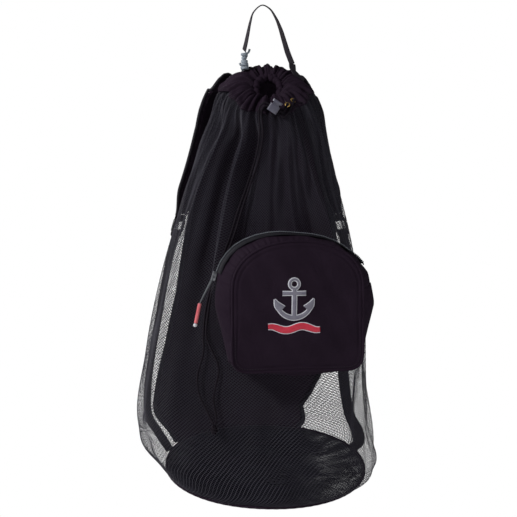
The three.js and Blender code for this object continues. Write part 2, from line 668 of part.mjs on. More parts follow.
// How each strand bends down past the lock, as shares of CORD from the lock's side and the strand's height.
const lockExits = {
  left: [
    { x: 2.3, y: 0.35 },
    { x: 3.1, y: 1.9 },
    { x: 3, y: 4.4 },
  ],
  right: [
    { x: 1.5, y: 0.6 },
    { x: 1.75, y: 1.9 },
    { x: 1.4, y: 3.6 },
  ],
};

["left", "right"].forEach((side, i) => {
  const [socket, eyelet] = [hemSocket(i), eyeletPlace(i)];
  const from = (frame, out) => frame.at.clone().addScaledVector(frame.out, out);
  const y = cordHeights[i];
  const half = LOCK.width / 2;
  const sign = side === "left" ? -1 : 1;
  const sideBySide = (row, gap) => {
    const frame = placeOn(row.angle, row.level, hangLift);
    return frame.at.addScaledVector(frame.right, gap);
  };
  const points = [
    from(socket, HEM / 2 - SOCKETS.depth + SEAT),
    from(socket, HEM / 2 + CORD),
    from(eyelet, -EYELETS.depth - 2 * CORD),
    from(eyelet, -EYELETS.depth - CORD / 3),
    from(eyelet, COLLAR_WALL + EYELETS.stand + CORD / 3),
    from(eyelet, COLLAR_WALL + EYELETS.stand + CORD * (1 + 0.4 * i)),
    lockPoint(half + CORD * (1.9 + 2 * i), y - CORD * 0.3 * i, CORD * 0.4 * i),
    lockPoint(half + CORD * 0.6, y),
    lockPoint(0, y),
    lockPoint(-half - CORD * 0.7, y),
    ...lockExits[side].map(({ x, y: down }) => lockPoint(-half - CORD * x, y - CORD * down)),
    ...STRAND_TOP.map((row) => sideBySide(row, sign * strandHalf * 1.4)),
    ...STRAND_FEET[side].map((row) => sideBySide(row, 0)),
    inside(knotFrame, sign * strandHalf, END_KNOT.height / 2 + CORD, 0),
    inside(knotFrame, sign * strandHalf, END_KNOT.height / 2 + SEAT, 0),
  ];
  const curve = curveThrough(points);
  const pieces = Math.round(curve.getLength() / (3 * CORD));
  add(`drawstring_${side}`, cordAlong(curve, CORD, pieces, 6), MATERIALS.cord);
});

// A lump of knotted cord from a table of its sections, as shares of its width and height.
const KNOT_FORM = [
  { up: 0.5, wide: 0.62 },
  { up: 0.38, wide: 0.9 },
  { up: 0.12, wide: 1 },
  { up: -0.1, wide: 0.84 },
  { up: -0.3, wide: 0.98 },
  { up: -0.45, wide: 0.7 },
  { up: -0.5, wide: 0.4 },
];
function knot(width, height, low, high) {
  const middle = (low + high) / 2;
  const rings = KNOT_FORM.map(({ up, wide }) =>
    circle(width * wide, 10).map(([x, y]) => new THREE.Vector3(x, middle + up * height, -0.85 * y)),
  );
  return solidOf(loft(rings.reverse()));
}
const endKnot = knot(END_KNOT.width, END_KNOT.height, -END_KNOT.height / 2, END_KNOT.height / 2);
add("drawstring_knot", inFrame(endKnot, knotFrame), MATERIALS.cord);

// Haul loop: a tape from the knot over the hook to the collar's back, and the knot

const loopSeat = placeOn(LOOP_SEAT.angle, LOOP_SEAT.level, COLLAR_WALL / 2 + SEAT + DRAPE + TAPE.wall / 2);
const tapeRoute = LOOP_ROUTE.map(
  ({ x, y, z }) => new THREE.Vector3(x * MOUTH_DROP, y * MOUTH_DROP, z * MOUTH_DROP + TAPE.wall / 2),
);
const seatAbove = inside(loopSeat, 0, TAPE.width, TAPE.wall);
const seatBelow = inside(loopSeat, 0, -TAPE.width, 0);
const tapeCurve = curveThrough([...tapeRoute, seatAbove, loopSeat.at, seatBelow]);
const tapeStations = tapeRoute.length + 2;

// A flat band along a curve. across(i) is the way of its width at each of the curve's points.
function band(curve, across, width, thick, per = 2) {
  const last = curve.points.length - 1;
  const rings = steps(0, 1, last * per).map((t) => {
    const at = curve.getPoint(t);
    const tangent = curve.getTangent(t);
    const i = Math.min(Math.floor(t * last), last - 1);
    const wide = across(i).clone().lerp(across(i + 1), t * last - i);
    wide.addScaledVector(tangent, -wide.dot(tangent)).normalize();
    const up = tangent.clone().cross(wide);
    const [w, h] = [width(t) / 2, thick(t) / 2];
    const corner = (a, b) => at.clone().addScaledVector(wide, a).addScaledVector(up, b);
    return [corner(-w, -h), corner(w, -h), corner(w, h), corner(-w, h)];
  });
  return loft(rings);
}

const tapeAcross = (i) => {
  if (i >= tapeRoute.length) return loopSeat.right.clone().negate();
  const turn = degToRad(LOOP_ROUTE[i].turn);
  const tangent = tapeCurve.getTangent(i / tapeStations);
  return new THREE.Vector3(0, 1, 0).applyAxisAngle(tangent, i < 6 ? turn : -turn);
};
add("haul_loop", band(tapeCurve, tapeAcross, () => TAPE.width, () => TAPE.wall), MATERIALS.webbing);

const loopEnd = tapeCurve.getPoint(0);
const knotSeat = placeOn(LOOP_KNOT.angle, LOOP_KNOT.level, COLLAR_WALL / 2 + SEAT + DRAPE);
const knotAxis = loopEnd.clone().sub(knotSeat.at);
const knotHeight = knotAxis.length() - SEAT - 3 * DRAPE;
const knotUp = knotAxis.clone().normalize();
const loopKnotFrame = {
  at: knotSeat.at,
  up: knotUp,
  right: knotUp.clone().cross(new THREE.Vector3(0, -1, 0)).normalize(),
  out: new THREE.Vector3(),
};
loopKnotFrame.out = loopKnotFrame.right.clone().cross(knotUp);
const loopKnot = knot(2 * LOOP_KNOT.radius, knotHeight, 0, knotHeight);
add("loop_knot", inFrame(loopKnot, loopKnotFrame), MATERIALS.greyCord);

// Shoulder straps: a padded strap, a buckle ring and a webbing on each side of the back

for (const [side, sign] of [["left", 1], ["right", -1]]) {
  const angleOf = (fromBack) => (sign > 0 ? -180 + fromBack : 180 - fromBack);
  const routeOf = (rows, thick) =>
    rows.map(({ angle, level, lift }) =>
      placeOn(angleOf(angle), level, PANEL_WALL / 2 + SEAT + lift * HALF_DEPTH + thick / 2),
    );
  const strapFrames = routeOf(STRAP_ROUTE[side], STRAP.wall);
  const webFrames = routeOf(WEBBING_ROUTE[side], WEBBING.wall);
  const strapCurve = curveThrough(strapFrames.map((frame) => frame.at));
  const strapEnd = strapFrames[strapFrames.length - 1];

  // The ring hangs straight below the strap's end, in the strap's own plane.
  const down = webFrames[0].at.clone().sub(strapEnd.at).normalize();
  const ringAt = strapEnd.at.clone().addScaledVector(down, HITCH + BUCKLE.height / 2);
  const ring = { at: ringAt, up: down.clone().negate() };
  ring.right = ring.up.clone().cross(strapEnd.out).normalize();
  ring.out = ring.right.clone().cross(ring.up);
  const inner = { width: BUCKLE.width - 2 * BUCKLE.bar, height: BUCKLE.height - 2 * BUCKLE.bar };
  const frame = block(BUCKLE.width, BUCKLE.height, BUCKLE.bar, -BUCKLE.bar / 2, BUCKLE.bar / 2)
    .subtract(block(inner.width, inner.height, 0, -BUCKLE.bar, BUCKLE.bar));
  add(`buckle_${side}`, inFrame(frame, ring), MATERIALS.plastic);

  // A fold of webbing round one of the ring's bars, which reaches away from the ring.
  const barAt = (BUCKLE.height - BUCKLE.bar) / 2;
  const hitch = (end) => {
    const middle = end * (barAt + HITCH / 2);
    const tall = HITCH + BUCKLE.bar + 2 * WEBBING.wall;
    const room = BUCKLE.bar + 2 * SEAT;
    return block(WEBBING.width, tall, 0, -HITCH / 2, HITCH / 2)
      .translate([0, middle, 0])
      .subtract(block(BUCKLE.width, room, 0, -room / 2, room / 2).translate([0, end * barAt, 0]));
  };
  const foot = (t) => lerp(STRAP.width, WEBBING.width + 6, smoothstep(t, 0.82, 1));
  const taper = (t) => foot(t) * lerp(0.45, 1, smoothstep(t, 0, 0.35));
  const thin = (t) => lerp(STRAP.wall, HITCH, smoothstep(t, 0.85, 1)) * lerp(0.7, 1, smoothstep(t, 0, 0.12));
  const strapWay = (i) => strapCurve.getTangent(i / (strapFrames.length - 1));
  const acrossStrap = (i) => strapFrames[i].out.clone().cross(strapWay(i));
  const pad = solidOf(band(strapCurve, acrossStrap, taper, thin));
  add(`strap_${side}`, pad.add(inFrame(hitch(1), ring)), MATERIALS.nylon);

  const webStart = ring.at.clone().addScaledVector(down, barAt + HITCH + WEBBING.wall);
  const webCurve = curveThrough([webStart, ...webFrames.slice(1).map((f) => f.at)]);
  const acrossWeb = (i) => (i === 0 ? ring.right : webFrames[i].right);
  const web = solidOf(band(webCurve, acrossWeb, () => WEBBING.width, () => WEBBING.wall));
  add(`webbing_${side}`, web.add(inFrame(hitch(-1), ring)), MATERIALS.webbing);
}

// Pocket: a domed front, a gusset that bulges to its foot on the net, piping, zip and pull

const pocketFrame = {
  at: new THREE.Vector3(),
  right: new THREE.Vector3(Math.cos(degToRad(POCKET_PLACE.yaw)), Math.sin(degToRad(POCKET_PLACE.yaw)), 0),
  up: new THREE.Vector3(0, 0, 1),
  out: new THREE.Vector3(Math.sin(degToRad(POCKET_PLACE.yaw)), -Math.cos(degToRad(POCKET_PLACE.yaw)), 0),
};

// The front of the sack below or above a point that is given across and up: how far out it lies.
function frontAt(x, z) {
  let [angle, level] = [x / 3, 8];
  for (let i = 0; i < 40; i++) {
    const at = sackPoint(angle, level);
    angle += (x - at.x) * 0.3;
    level += (at.z - z) / (SACK_DROP * 0.15) / 1.5;
    angle = Math.min(Math.max(angle, -88), 88);
    level = Math.min(Math.max(level, 4), 12);
  }
  return sackPoint(angle, level);
}
const seatOfPocket = frontAt(POCKET_PLACE.x, POCKET_PLACE.z);
pocketFrame.at.set(POCKET_PLACE.x, seatOfPocket.y, POCKET_PLACE.z);
const pocketPoint = (x, y, z) => inside(pocketFrame, x, y, z);

// The outline from the right, over the arch and round the foot: half circles drawn a little square.
const archFoot = POCKET.height / 2 - POCKET.rise;
const outline = [];
for (const turn of steps(0, 180, 18)) {
  const [c, s] = [Math.cos(degToRad(turn)), Math.sin(degToRad(turn))];
  const squared = (v) => Math.sign(v) * Math.abs(v) ** (2 / 2.25);
  outline.push([(POCKET.width / 2) * squared(c), archFoot + POCKET.rise * squared(s)]);
}
for (const [side, from] of [[-1, 180], [1, 270]]) {
  const edge = (y) => outline.push([(side * POCKET.width) / 2, y]);
  if (side < 0) edge(archFoot / 2 - POCKET.height / 6);
  for (const turn of steps(from, from + 90, 3)) {
    outline.push([
      side * (POCKET.width / 2 - POCKET.corner) + POCKET.corner * Math.cos(degToRad(turn)),
      POCKET.corner - POCKET.height / 2 + POCKET.corner * Math.sin(degToRad(turn)),
    ]);
  }
  if (side < 0) outline.push([-POCKET.width / 6, -POCKET.height / 2], [POCKET.width / 6, -POCKET.height / 2]);
  if (side > 0) edge(archFoot / 2 - POCKET.height / 6);
}
const around = outline.length;

// A point of the outline, at a fractional place in the list, drawn in by a length across its edge.
function outlineAt(u, inset = 0) {
  const wrapped = ((u % around) + around) % around;
  const i = Math.floor(wrapped);
  const corner = (k) => {
    const [before, here, after] = [-1, 0, 1].map((n) => outline[(k + n + around) % around]);
    const [dx, dy] = [after[0] - before[0], after[1] - before[1]];
    const length = Math.hypot(dx, dy);
    return [here[0] - (inset * dy) / length, here[1] + (inset * dx) / length];
  };
  const [a, b] = [corner(i), corner((i + 1) % around)];
  const t = wrapped - i;
  return [lerp(a[0], b[0], t), lerp(a[1], b[1], t)];
}

const pocketSteps = steps(0, around, around);
const footPoint = (u) => {
  const [x, y] = outlineAt(u, FOOT_INSET);
  const above = pocketPoint(x, y, 0);
  const seat = frontAt(above.x, above.z);
  return seat.addScaledVector(pocketFrame.out, NET_WALL / 2 + SEAT + 2 * DRAPE);
};
const feet = pocketSteps.map(footPoint);
const rimDepth = POCKET_PLACE.stand - POCKET_PIPING / 2 - SEAT - POCKET.wall / 2;

// The gusset from its foot on the net, at v = 0, to the seam with the front, at v = 1.
function gussetPoint(u, v) {
  const wrapped = ((u % around) + around) % around;
  const i = Math.floor(wrapped);
  const foot = feet[i].clone().lerp(feet[i + 1], wrapped - i);
  const [x, y] = outlineAt(u);
  const rim = pocketPoint(x, y, rimDepth);
  const angle = (THREE.MathUtils.radToDeg(Math.atan2(y, x)) + 360) % 360;
  const round = [...GUSSET_BULGE, { ...GUSSET_BULGE[0], angle: 360 }];
  const bulge = lookUp(round, "angle", "bulge", angle);
  const out = (bulge * POCKET.width) / 2 / Math.hypot(x, y);
  const middle = pocketPoint(x * out, y * out, 0).sub(pocketFrame.at);
  return foot.lerp(rim, v).addScaledVector(middle, Math.sin(Math.PI * Math.max(v, 0) ** 0.9));
}
const lanes = [0, 0.15, 0.32, 0.5, 0.68, 1];
const half = POCKET.wall / 2;
add("pocket_gusset", wall(gussetPoint, pocketSteps, lanes, -half, half, { closed: true }), MATERIALS.nylon);

const rimInset = POCKET_PIPING / 2 + SEAT + 0.2;
const frontPoint = (u, v) => {
  const [x, y] = outlineAt(u, rimInset);
  return pocketPoint(x * -v, y * -v, POCKET_PLACE.stand + POCKET.dome * (1 - v * v));
};
const front = wall(frontPoint, pocketSteps, [-1, -0.8, -0.45, 0], -half, half, {
  closed: true,
  along: pocketFrame.out,
});
add("pocket_front", front, MATERIALS.nylon);
const pipingAt = (u) => {
  const [x, y] = outlineAt((u / 360) * around);
  return pocketPoint(x, y, POCKET_PLACE.stand);
};
add("pocket_piping", hoop(pipingAt, POCKET_PIPING, around, 6, pocketFrame.out), MATERIALS.nylon);

// The zip lies on the gusset: its tape, its chain of teeth, and the slider at its lower end.
const zipSteps = steps(ZIP.from, ZIP.to, ZIP.to - ZIP.from);
const gussetWidth = (u) => gussetPoint(u, 0).distanceTo(gussetPoint(u, 1));
const laneAt = (u, across) => ZIP.lane + across / gussetWidth(u);
const onZip = (width) => (u, v) => gussetPoint(u, laneAt(u, v * (width / 2)));
const tapeLow = half + SEAT + DRAPE;
const tapeHigh = tapeLow + ZIP.wall;
add("zip_tape", wall(onZip(ZIP.tape), zipSteps, [-1, 0, 1], tapeLow, tapeHigh), MATERIALS.webbing);
const chainLow = tapeHigh + SEAT;
const chainHigh = chainLow + ZIP.rise;
add("zip_chain", wall(onZip(ZIP.chain), zipSteps, [-1, 0, 1], chainLow, chainHigh), MATERIALS.zip);

// A frame on the zip, its y along the chain and its z out of the gusset.
function zipFrame(u, lift) {
  const small = 1e-2;
  const up = gussetPoint(u - small, ZIP.lane).sub(gussetPoint(u + small, ZIP.lane)).normalize();
  const acrossIt = gussetPoint(u, ZIP.lane + small).sub(gussetPoint(u, ZIP.lane - small));
  const out = acrossIt.cross(up).normalize();
  return { at: gussetPoint(u, ZIP.lane).addScaledVector(out, lift), up, out, right: up.clone().cross(out) };
}
const sliderPlace = zipFrame(ZIP.to, 0);
sliderPlace.at.addScaledVector(sliderPlace.up, -SLIDER.length / 2 - SEAT);
const holeHeight = tapeLow + SLIDER.height - PULL_CORD * 1.3;
const sliderHole = bar(PULL_CORD + 4 * RUNNING, -SLIDER.width, SLIDER.width).rotate([0, 90, 0]);
const slider = block(SLIDER.width, SLIDER.length, SLIDER.width * 0.3, tapeLow, tapeLow + SLIDER.height)
  .subtract(sliderHole.translate([0, 0, holeHeight]));
add("zip_slider", inFrame(slider, sliderPlace), MATERIALS.steel);

// The pull: a loop of cord through the slider, its ends in the socket of a grip with a bead at its foot.
const pullTop = sliderPlace.at.clone().addScaledVector(sliderPlace.out, holeHeight);
const pullEnd = pullTop.clone().add(new THREE.Vector3(-PULL.across, -PULL.out, -PULL.drop));
const pullSide = sliderPlace.right.clone();
const lean = degToRad(PULL.lean);
const gripDown = new THREE.Vector3(-Math.sin(lean), 0, -Math.cos(lean));
const gripUp = new THREE.Vector3(0, -1, 0);

// Half of the loop, from the middle of the slider's hole: wide in shares of SLIDER.width, down in shares
// of the way to the grip, and into in shares of the grip's socket.
const PULL_LOOP = [
  { wide: 0, down: 0, into: 0 },
  { wide: 0.52, down: 0, into: 0 },
  { wide: 0.78, down: 0.05, into: 0 },
  { wide: 0.7, down: 0.2, into: 0 },
  { wide: 0.4, down: 0.5, into: 0 },
  { wide: 0.14, down: 0.86, into: 0 },
  { wide: 0.1, down: 1, into: 0.2 },
  { wide: 0, down: 1, into: 0.7 },
];
const pullPoint = ({ wide, down, into }, sign) =>
  pullTop
    .clone()
    .lerp(pullEnd, down)
    .addScaledVector(gripDown, into * GRIP.socket)
    .addScaledVector(pullSide, sign * wide * SLIDER.width);
const upAgain = PULL_LOOP.slice(1, -1).reverse();
const pullPoints = [...PULL_LOOP.map((row) => pullPoint(row, 1)), ...upAgain.map((row) => pullPoint(row, -1))];
const pullCurve = new THREE.CatmullRomCurve3(pullPoints, true, "centripetal");
const pullAcross = pullSide.clone().cross(gripDown);
const onPull = (u) => pullCurve.getPoint((((u / 360) % 1) + 1) % 1);
add("pull_cord", hoop(onPull, PULL_CORD, 28, 6, pullAcross), MATERIALS.cord);
const gripFrame = { at: pullEnd, up: gripUp, out: gripDown, right: gripUp.clone().cross(gripDown) };
const grip = bar(GRIP.diameter, 0, GRIP.length).subtract(bar(GRIP.bore, -1, GRIP.socket + SEAT));
add("pull_grip", inFrame(grip, gripFrame), MATERIALS.red);
const beadRings = [0.3, 0.8, 1, 0.8, 0.4].map((wide, i) => {
  const z = GRIP.length + SEAT + (i * GRIP.bead) / 5;
  return circle(GRIP.bead * wide, 10).map(([x, y]) => new THREE.Vector3(x, y, z));
});
add("pull_bead", inFrame(solidOf(loft(beadRings)), gripFrame), MATERIALS.greyCord);

export default bag;
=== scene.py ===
# A mesh gear bag hanging by its haul loop: a net sack with a solid back panel and a round coated base,
# drawn up at the top by a cord in a cloth collar, with an arched zipped pocket on its front and two
# padded shoulder straps on its back. Metres, +Z up, the front faces -Y, the hook bears at the origin.

import math

import bpy
import numpy as np
from mathutils import Matrix, Vector
from mathutils.bvhtree import BVHTree


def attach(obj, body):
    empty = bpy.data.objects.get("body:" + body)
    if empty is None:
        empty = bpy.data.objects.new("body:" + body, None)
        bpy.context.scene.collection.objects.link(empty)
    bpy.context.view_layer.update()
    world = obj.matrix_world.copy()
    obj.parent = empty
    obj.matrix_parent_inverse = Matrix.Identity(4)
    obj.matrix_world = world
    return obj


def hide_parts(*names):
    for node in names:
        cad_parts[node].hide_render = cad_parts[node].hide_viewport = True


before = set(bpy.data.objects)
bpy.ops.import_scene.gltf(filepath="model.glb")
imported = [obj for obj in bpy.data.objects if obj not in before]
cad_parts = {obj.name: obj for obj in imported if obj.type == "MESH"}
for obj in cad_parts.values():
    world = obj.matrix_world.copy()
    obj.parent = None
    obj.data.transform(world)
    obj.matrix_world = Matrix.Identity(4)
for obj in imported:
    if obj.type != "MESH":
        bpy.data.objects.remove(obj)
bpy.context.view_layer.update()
bpy.ops.object.select_all(action="DESELECT")
scene = bpy.context.scene
scene.view_settings.view_transform = "Standard"

# Camera, 3.2 m away and 7 degrees above the bag's middle, with the frame of the photograph.
target = Vector((0, 0, -0.425))
rise = math.radians(7)
bpy.ops.object.camera_add(
    location=target + 3.2 * Vector((0, -math.cos(rise), math.sin(rise))), rotation=(math.radians(90) - rise, 0, 0)
)
camera = bpy.context.object
camera.data.sensor_width = 36
camera.data.lens = 131.07
camera.data.shift_x = -3.5 / 517
camera.data.shift_y = -0.5 / 517
scene.camera = camera

# Pale floor below the bag and plain light all round, with a large soft lamp from the front left and
# smaller ones from the right, from behind and from below. The floor looks as white as the surroundings.
bpy.ops.mesh.primitive_circle_add(vertices=64, radius=40, fill_type="NGON", location=(0, 0, -1.15))
floor = bpy.context.object
floor.name = "floor"


def seen_plain(tree, lit, plain, result):
    """The camera sees the plain shader, and the light meets the lit one."""
    rays = tree.nodes.new("ShaderNodeLightPath")
    blend = tree.nodes.new("ShaderNodeMixShader")
    tree.links.new(rays.outputs["Is Camera Ray"], blend.inputs["Fac"])
    tree.links.new(lit.outputs[0], blend.inputs[1])
    tree.links.new(plain.outputs[0], blend.inputs[2])
    tree.links.new(blend.outputs["Shader"], result.inputs["Surface"])


paper = bpy.data.materials.new("pale_floor")
paper.use_nodes = True
nodes = paper.node_tree.nodes
nodes["Principled BSDF"].inputs["Base Color"].default_value = (0.9, 0.9, 0.9, 1)
nodes["Principled BSDF"].inputs["Roughness"].default_value = 0.9
bright = nodes.new("ShaderNodeEmission")
seen_plain(paper.node_tree, nodes["Principled BSDF"], bright, nodes["Material Output"])
floor.data.materials.append(paper)

world = bpy.data.worlds.new("studio")
world.use_nodes = True
scene.world = world
nodes = world.node_tree.nodes
around = nodes["Background"]
around.inputs["Color"].default_value = (0.93, 0.95, 1, 1)
around.inputs["Strength"].default_value = 0.24
behind = nodes.new("ShaderNodeBackground")
behind.inputs["Color"].default_value = (1, 1, 1, 1)
seen_plain(world.node_tree, around, behind, nodes["World Output"])

for name, place, size, power in [
    ("key_lamp", (-2.2, -1.3, 1.25), 0.5, 112),
    ("right_lamp", (2.0, -1.3, 0.1), 0.8, 12),
    ("back_lamp", (-0.6, 2.4, 0.7), 1.2, 12),
    ("low_lamp", (0.3, -1.6, -1.05), 0.8, 4),
    ("left_lamp", (-2.3, 0.9, 0.5), 0.9, 26),
]:
    bpy.ops.object.light_add(type="AREA", location=place)
    lamp = bpy.context.object
    lamp.name = name
    lamp.data.size = size
    lamp.data.energy = power
    lamp.rotation_euler = (target - lamp.location).to_track_quat("-Z", "Y").to_euler()


# Drawstring: one braided cord whose two strands leave the collar's hem through the brass eyelets, pass
# the cord lock and hang down the front to one knot. The points, in millimetres, are the route of the
# part's own source.
CORD = 0.0035
STRANDS = {
    "left": [
        (14.3, -23.8, -161.3), (19.7, -27.4, -164.4), (40.2, -46.6, -169.8), (41.1, -51.2, -166.3),
        (42.3, -57.3, -161.6), (42.7, -59.1, -160.2), (33.1, -71.2, -175.1), (29.3, -71.2, -172.6),
        (20, -71.2, -166.6), (10.3, -71.2, -160.4), (5, -71.2, -158.3), (-0.3, -71.2, -161.4),
        (-4.8, -71.2, -168.9), (-3.5, -82.4, -207.9), (-9.9, -95.7, -246.6), (-24.2, -104.3, -292),
        (-40, -113.1, -335), (-52.4, -123.9, -375.4), (-72, -127.5, -427.3), (-84.1, -124.3, -460.1),
        (-93.2, -128.7, -500.9), (-95.9, -135.8, -537.1), (-95.7, -141.2, -563.3), (-101.8, -142.3, -585.6),
        (-105.8, -143.6, -603.2), (-103, -148.7, -630.7), (-93.1, -154.2, -652.3), (-81.5, -158.7, -674.8),
        (-80.1, -161.4, -676.4), (-80.1, -161.4, -679.6),
    ],
    "right": [
        (27.4, -15.4, -153.7), (31.2, -20, -157.8), (44.3, -35.5, -163.4), (47.7, -38.8, -160),
        (52.3, -43.2, -155.6), (54.4, -45.4, -153.4), (36.1, -72.6, -183.3), (27, -71.2, -176.2),
        (17.7, -71.2, -170.1), (8.1, -71.2, -163.9), (4.6, -71.2, -164.1), (1.4, -71.2, -167.4),
        (-0.9, -71.2, -173.1), (1.5, -85.3, -208.8), (-4.8, -98.6, -247.2), (-19.6, -107.9, -292.5),
        (-34.1, -113.2, -335), (-46.5, -123.8, -375.4), (-67.1, -130.7, -427.5), (-80, -128.6, -460.3),
        (-88.4, -132.1, -501), (-90.9, -138.7, -537.2), (-80.7, -147.2, -561.8), (-73.2, -150.8, -576.5),
        (-70.3, -153, -592.8), (-74.2, -154.2, -610.4), (-79.1, -155.9, -636.6), (-76, -158.2, -657.8),
        (-74.4, -159.8, -675.1), (-76, -162, -676.4), (-76, -162, -679.6),
    ],
}
END_KNOT = np.array((-0.078, -0.1617, -0.6884))
END_KNOT_RADIUS, END_KNOT_TALL = 0.0054, 0.0165


def distances(path):
    """How far along a path each of its places lies."""
    return np.concatenate([[0], np.cumsum(np.linalg.norm(np.diff(path, axis=0), axis=1))])


def read_off(wanted, known, table):
    """The rows of a table of places or directions at the wanted values of what is known for its rows."""
    return np.stack([np.interp(wanted, known, table[:, k]) for k in range(3)], axis=1)


def hermite(t, start, end, leaving, arriving):
    """A smooth way between two values, from its slopes at both."""
    return (
        (2 * t**3 - 3 * t**2 + 1) * start
        + (t**3 - 2 * t**2 + t) * leaving
        + (3 * t**2 - 2 * t**3) * end
        + (t**3 - t**2) * arriving
    )


def smooth_path(points, spacing, closed=False):
    """Evenly spaced places on the smooth curve through some points, as the part's source draws it."""
    given = [np.array(p, float) for p in points]
    if closed:
        row = [given[-1]] + given + [given[0], given[1]]
    else:
        row = [2 * given[0] - given[1]] + given + [2 * given[-1] - given[-2]]
    dense = []
    for p0, p1, p2, p3 in zip(row, row[1:], row[2:], row[3:]):
        t0, t1, t2 = [max(float(np.linalg.norm(b - a)) ** 0.5, 1e-6) for a, b in ((p0, p1), (p1, p2), (p2, p3))]
        leaving = ((p1 - p0) / t0 - (p2 - p0) / (t0 + t1) + (p2 - p1) / t1) * t1
        arriving = ((p2 - p1) / t1 - (p3 - p1) / (t1 + t2) + (p3 - p2) / t2) * t1
        dense += [hermite(t, p1, p2, leaving, arriving) for t in np.linspace(0, 1, 24, endpoint=False)]
    dense = np.array(dense + [row[-2]])
    along = distances(dense)
    count = max(int(round(along[-1] / spacing)), 3)
    wanted = np.linspace(0, along[-1], count + 1)[: -1 if closed else None]
    return read_off(wanted, along, dense)


def unit(vectors):
    """The directions of some vectors."""
    return vectors / np.maximum(np.linalg.norm(vectors, axis=-1, keepdims=True), 1e-12)


def ways_along(path, closed=False):
    """The way of a path at each of its places."""
    return unit(np.roll(path, -1, axis=0) - np.roll(path, 1, axis=0) if closed else np.gradient(path, axis=0))


def frames_along(path, closed=False):
    """The way of a path at each of its places and two ways across it, which turn as little as they can."""
    ways = ways_along(path, closed)
    side = np.cross(ways[0], (0.3, 0.2, 1.0))
    sides = []
    for way in ways:
        side = unit(side - way * np.dot(side, way))
        sides.append(side)
    sides = np.array(sides)
    return ways, sides, np.cross(ways, sides)


def new_mesh(name, points, faces, material, uvs=None):
    """A piece from its points and faces, with the places on its cloth in its own UV map, in metres."""
    mesh = bpy.data.meshes.new(name)
    mesh.from_pydata([tuple(p) for p in points], [], [tuple(int(i) for i in f) for f in faces])
    mesh.update()
    piece = bpy.data.objects.new(name, mesh)
    scene.collection.objects.link(piece)
    mesh.materials.append(material)
    mesh.shade_smooth()
    if uvs is not None:
        mesh.uv_layers.new(name="along").data.foreach_set("uv", np.array(uvs, np.float32).ravel())
    return piece


def tube(name, path, radius, sides, material, closed=False, strands=0, twist=0.0, relief=0.0):
    """A cord along a path, with the crossing ridges of a braid in its surface."""
    ways, right, up = frames_along(path, closed)
    along = distances(path)
    turns = np.linspace(0, 2 * math.pi, sides, endpoint=False)
    radius = np.broadcast_to(np.asarray(radius, float), (len(path),))
    points, n = [], len(path)
    for i in range(n):
        ridge = np.sin(strands * turns / 2 + along[i] * twist) * np.sin(strands * turns / 2 - along[i] * twist)
        r = radius[i] * (1 + relief * np.abs(ridge))
        points.append(path[i] + right[i] * (r * np.cos(turns))[:, None] + up[i] * (r * np.sin(turns))[:, None])
    points = np.concatenate(points)
    faces, uvs = [], []
    for i in range(n if closed else n - 1):
        for j in range(sides):
            k, m = (j + 1) % sides, (i + 1) % n
            faces.append((i * sides + j, i * sides + k, m * sides + k, m * sides + j))
            a, b = along[i], along[i] + np.linalg.norm(path[m] - path[i])
            left, right_edge = float(radius[i]) * turns[j], float(radius[i]) * (turns[j] + turns[1])
            uvs += [(left, a), (right_edge, a), (right_edge, b), (left, b)]
    if not closed:
        faces += [tuple(reversed(range(sides))), tuple(range((n - 1) * sides, n * sides))]
        uvs += [(0, 0)] * (2 * sides)
    return new_mesh(name, points, faces, material, uvs)


def effect(name, *sockets):
    """A node group that gives one value over the surface, and its input and output nodes."""
    tree = bpy.data.node_groups.new(name, "ShaderNodeTree")
    tree.interface.new_socket("Vector", in_out="INPUT", socket_type="NodeSocketVector")
    for label, value in sockets:
        tree.interface.new_socket(label, in_out="INPUT", socket_type="NodeSocketFloat").default_value = value
    tree.interface.new_socket("Value", in_out="OUTPUT", socket_type="NodeSocketFloat")
    return tree, tree.nodes.new("NodeGroupInput"), tree.nodes.new("NodeGroupOutput")


def reckon(tree, operation, *values):
    """The outcome of one Math node, from numbers and other nodes' outcomes."""
    node = tree.nodes.new("ShaderNodeMath")
    node.operation = operation
    for socket, value in zip(node.inputs, values):
        if isinstance(value, (int, float)):
            socket.default_value = value
        else:
            tree.links.new(value, socket)
    return node.outputs[0]


# Plain weave: threads that pass over and under each other, one pitch apart both ways.
woven, given, result = effect("woven", ("Pitch", 0.0008))
split = woven.nodes.new("ShaderNodeSeparateXYZ")
woven.links.new(given.outputs["Vector"], split.inputs[0])
turn = reckon(woven, "DIVIDE", 2 * math.pi, given.outputs["Pitch"])
warp = reckon(woven, "SINE", reckon(woven, "MULTIPLY", split.outputs[0], turn))
weft = reckon(woven, "SINE", reckon(woven, "MULTIPLY", split.outputs[1], turn))
woven.links.new(reckon(woven, "MULTIPLY_ADD", reckon(woven, "MULTIPLY", warp, weft), 0.5, 0.5), result.inputs[0])

# Webbing and braid: ribs in a herringbone, with a thread's pitch along and a steeper one across.
ribbed, given, result = effect("ribbed", ("Pitch", 0.0012))
split = ribbed.nodes.new("ShaderNodeSeparateXYZ")
ribbed.links.new(given.outputs["Vector"], split.inputs[0])
turn = reckon(ribbed, "DIVIDE", math.pi, given.outputs["Pitch"])
across = reckon(ribbed, "MULTIPLY", split.outputs[0], reckon(ribbed, "MULTIPLY", turn, 0.8))
along = reckon(ribbed, "MULTIPLY", split.outputs[1], turn)
one = reckon(ribbed, "ABSOLUTE", reckon(ribbed, "SINE", reckon(ribbed, "ADD", along, across)))
other = reckon(ribbed, "ABSOLUTE", reckon(ribbed, "SINE", reckon(ribbed, "SUBTRACT", along, across)))
ribbed.links.new(reckon(ribbed, "MAXIMUM", one, other), result.inputs[0])

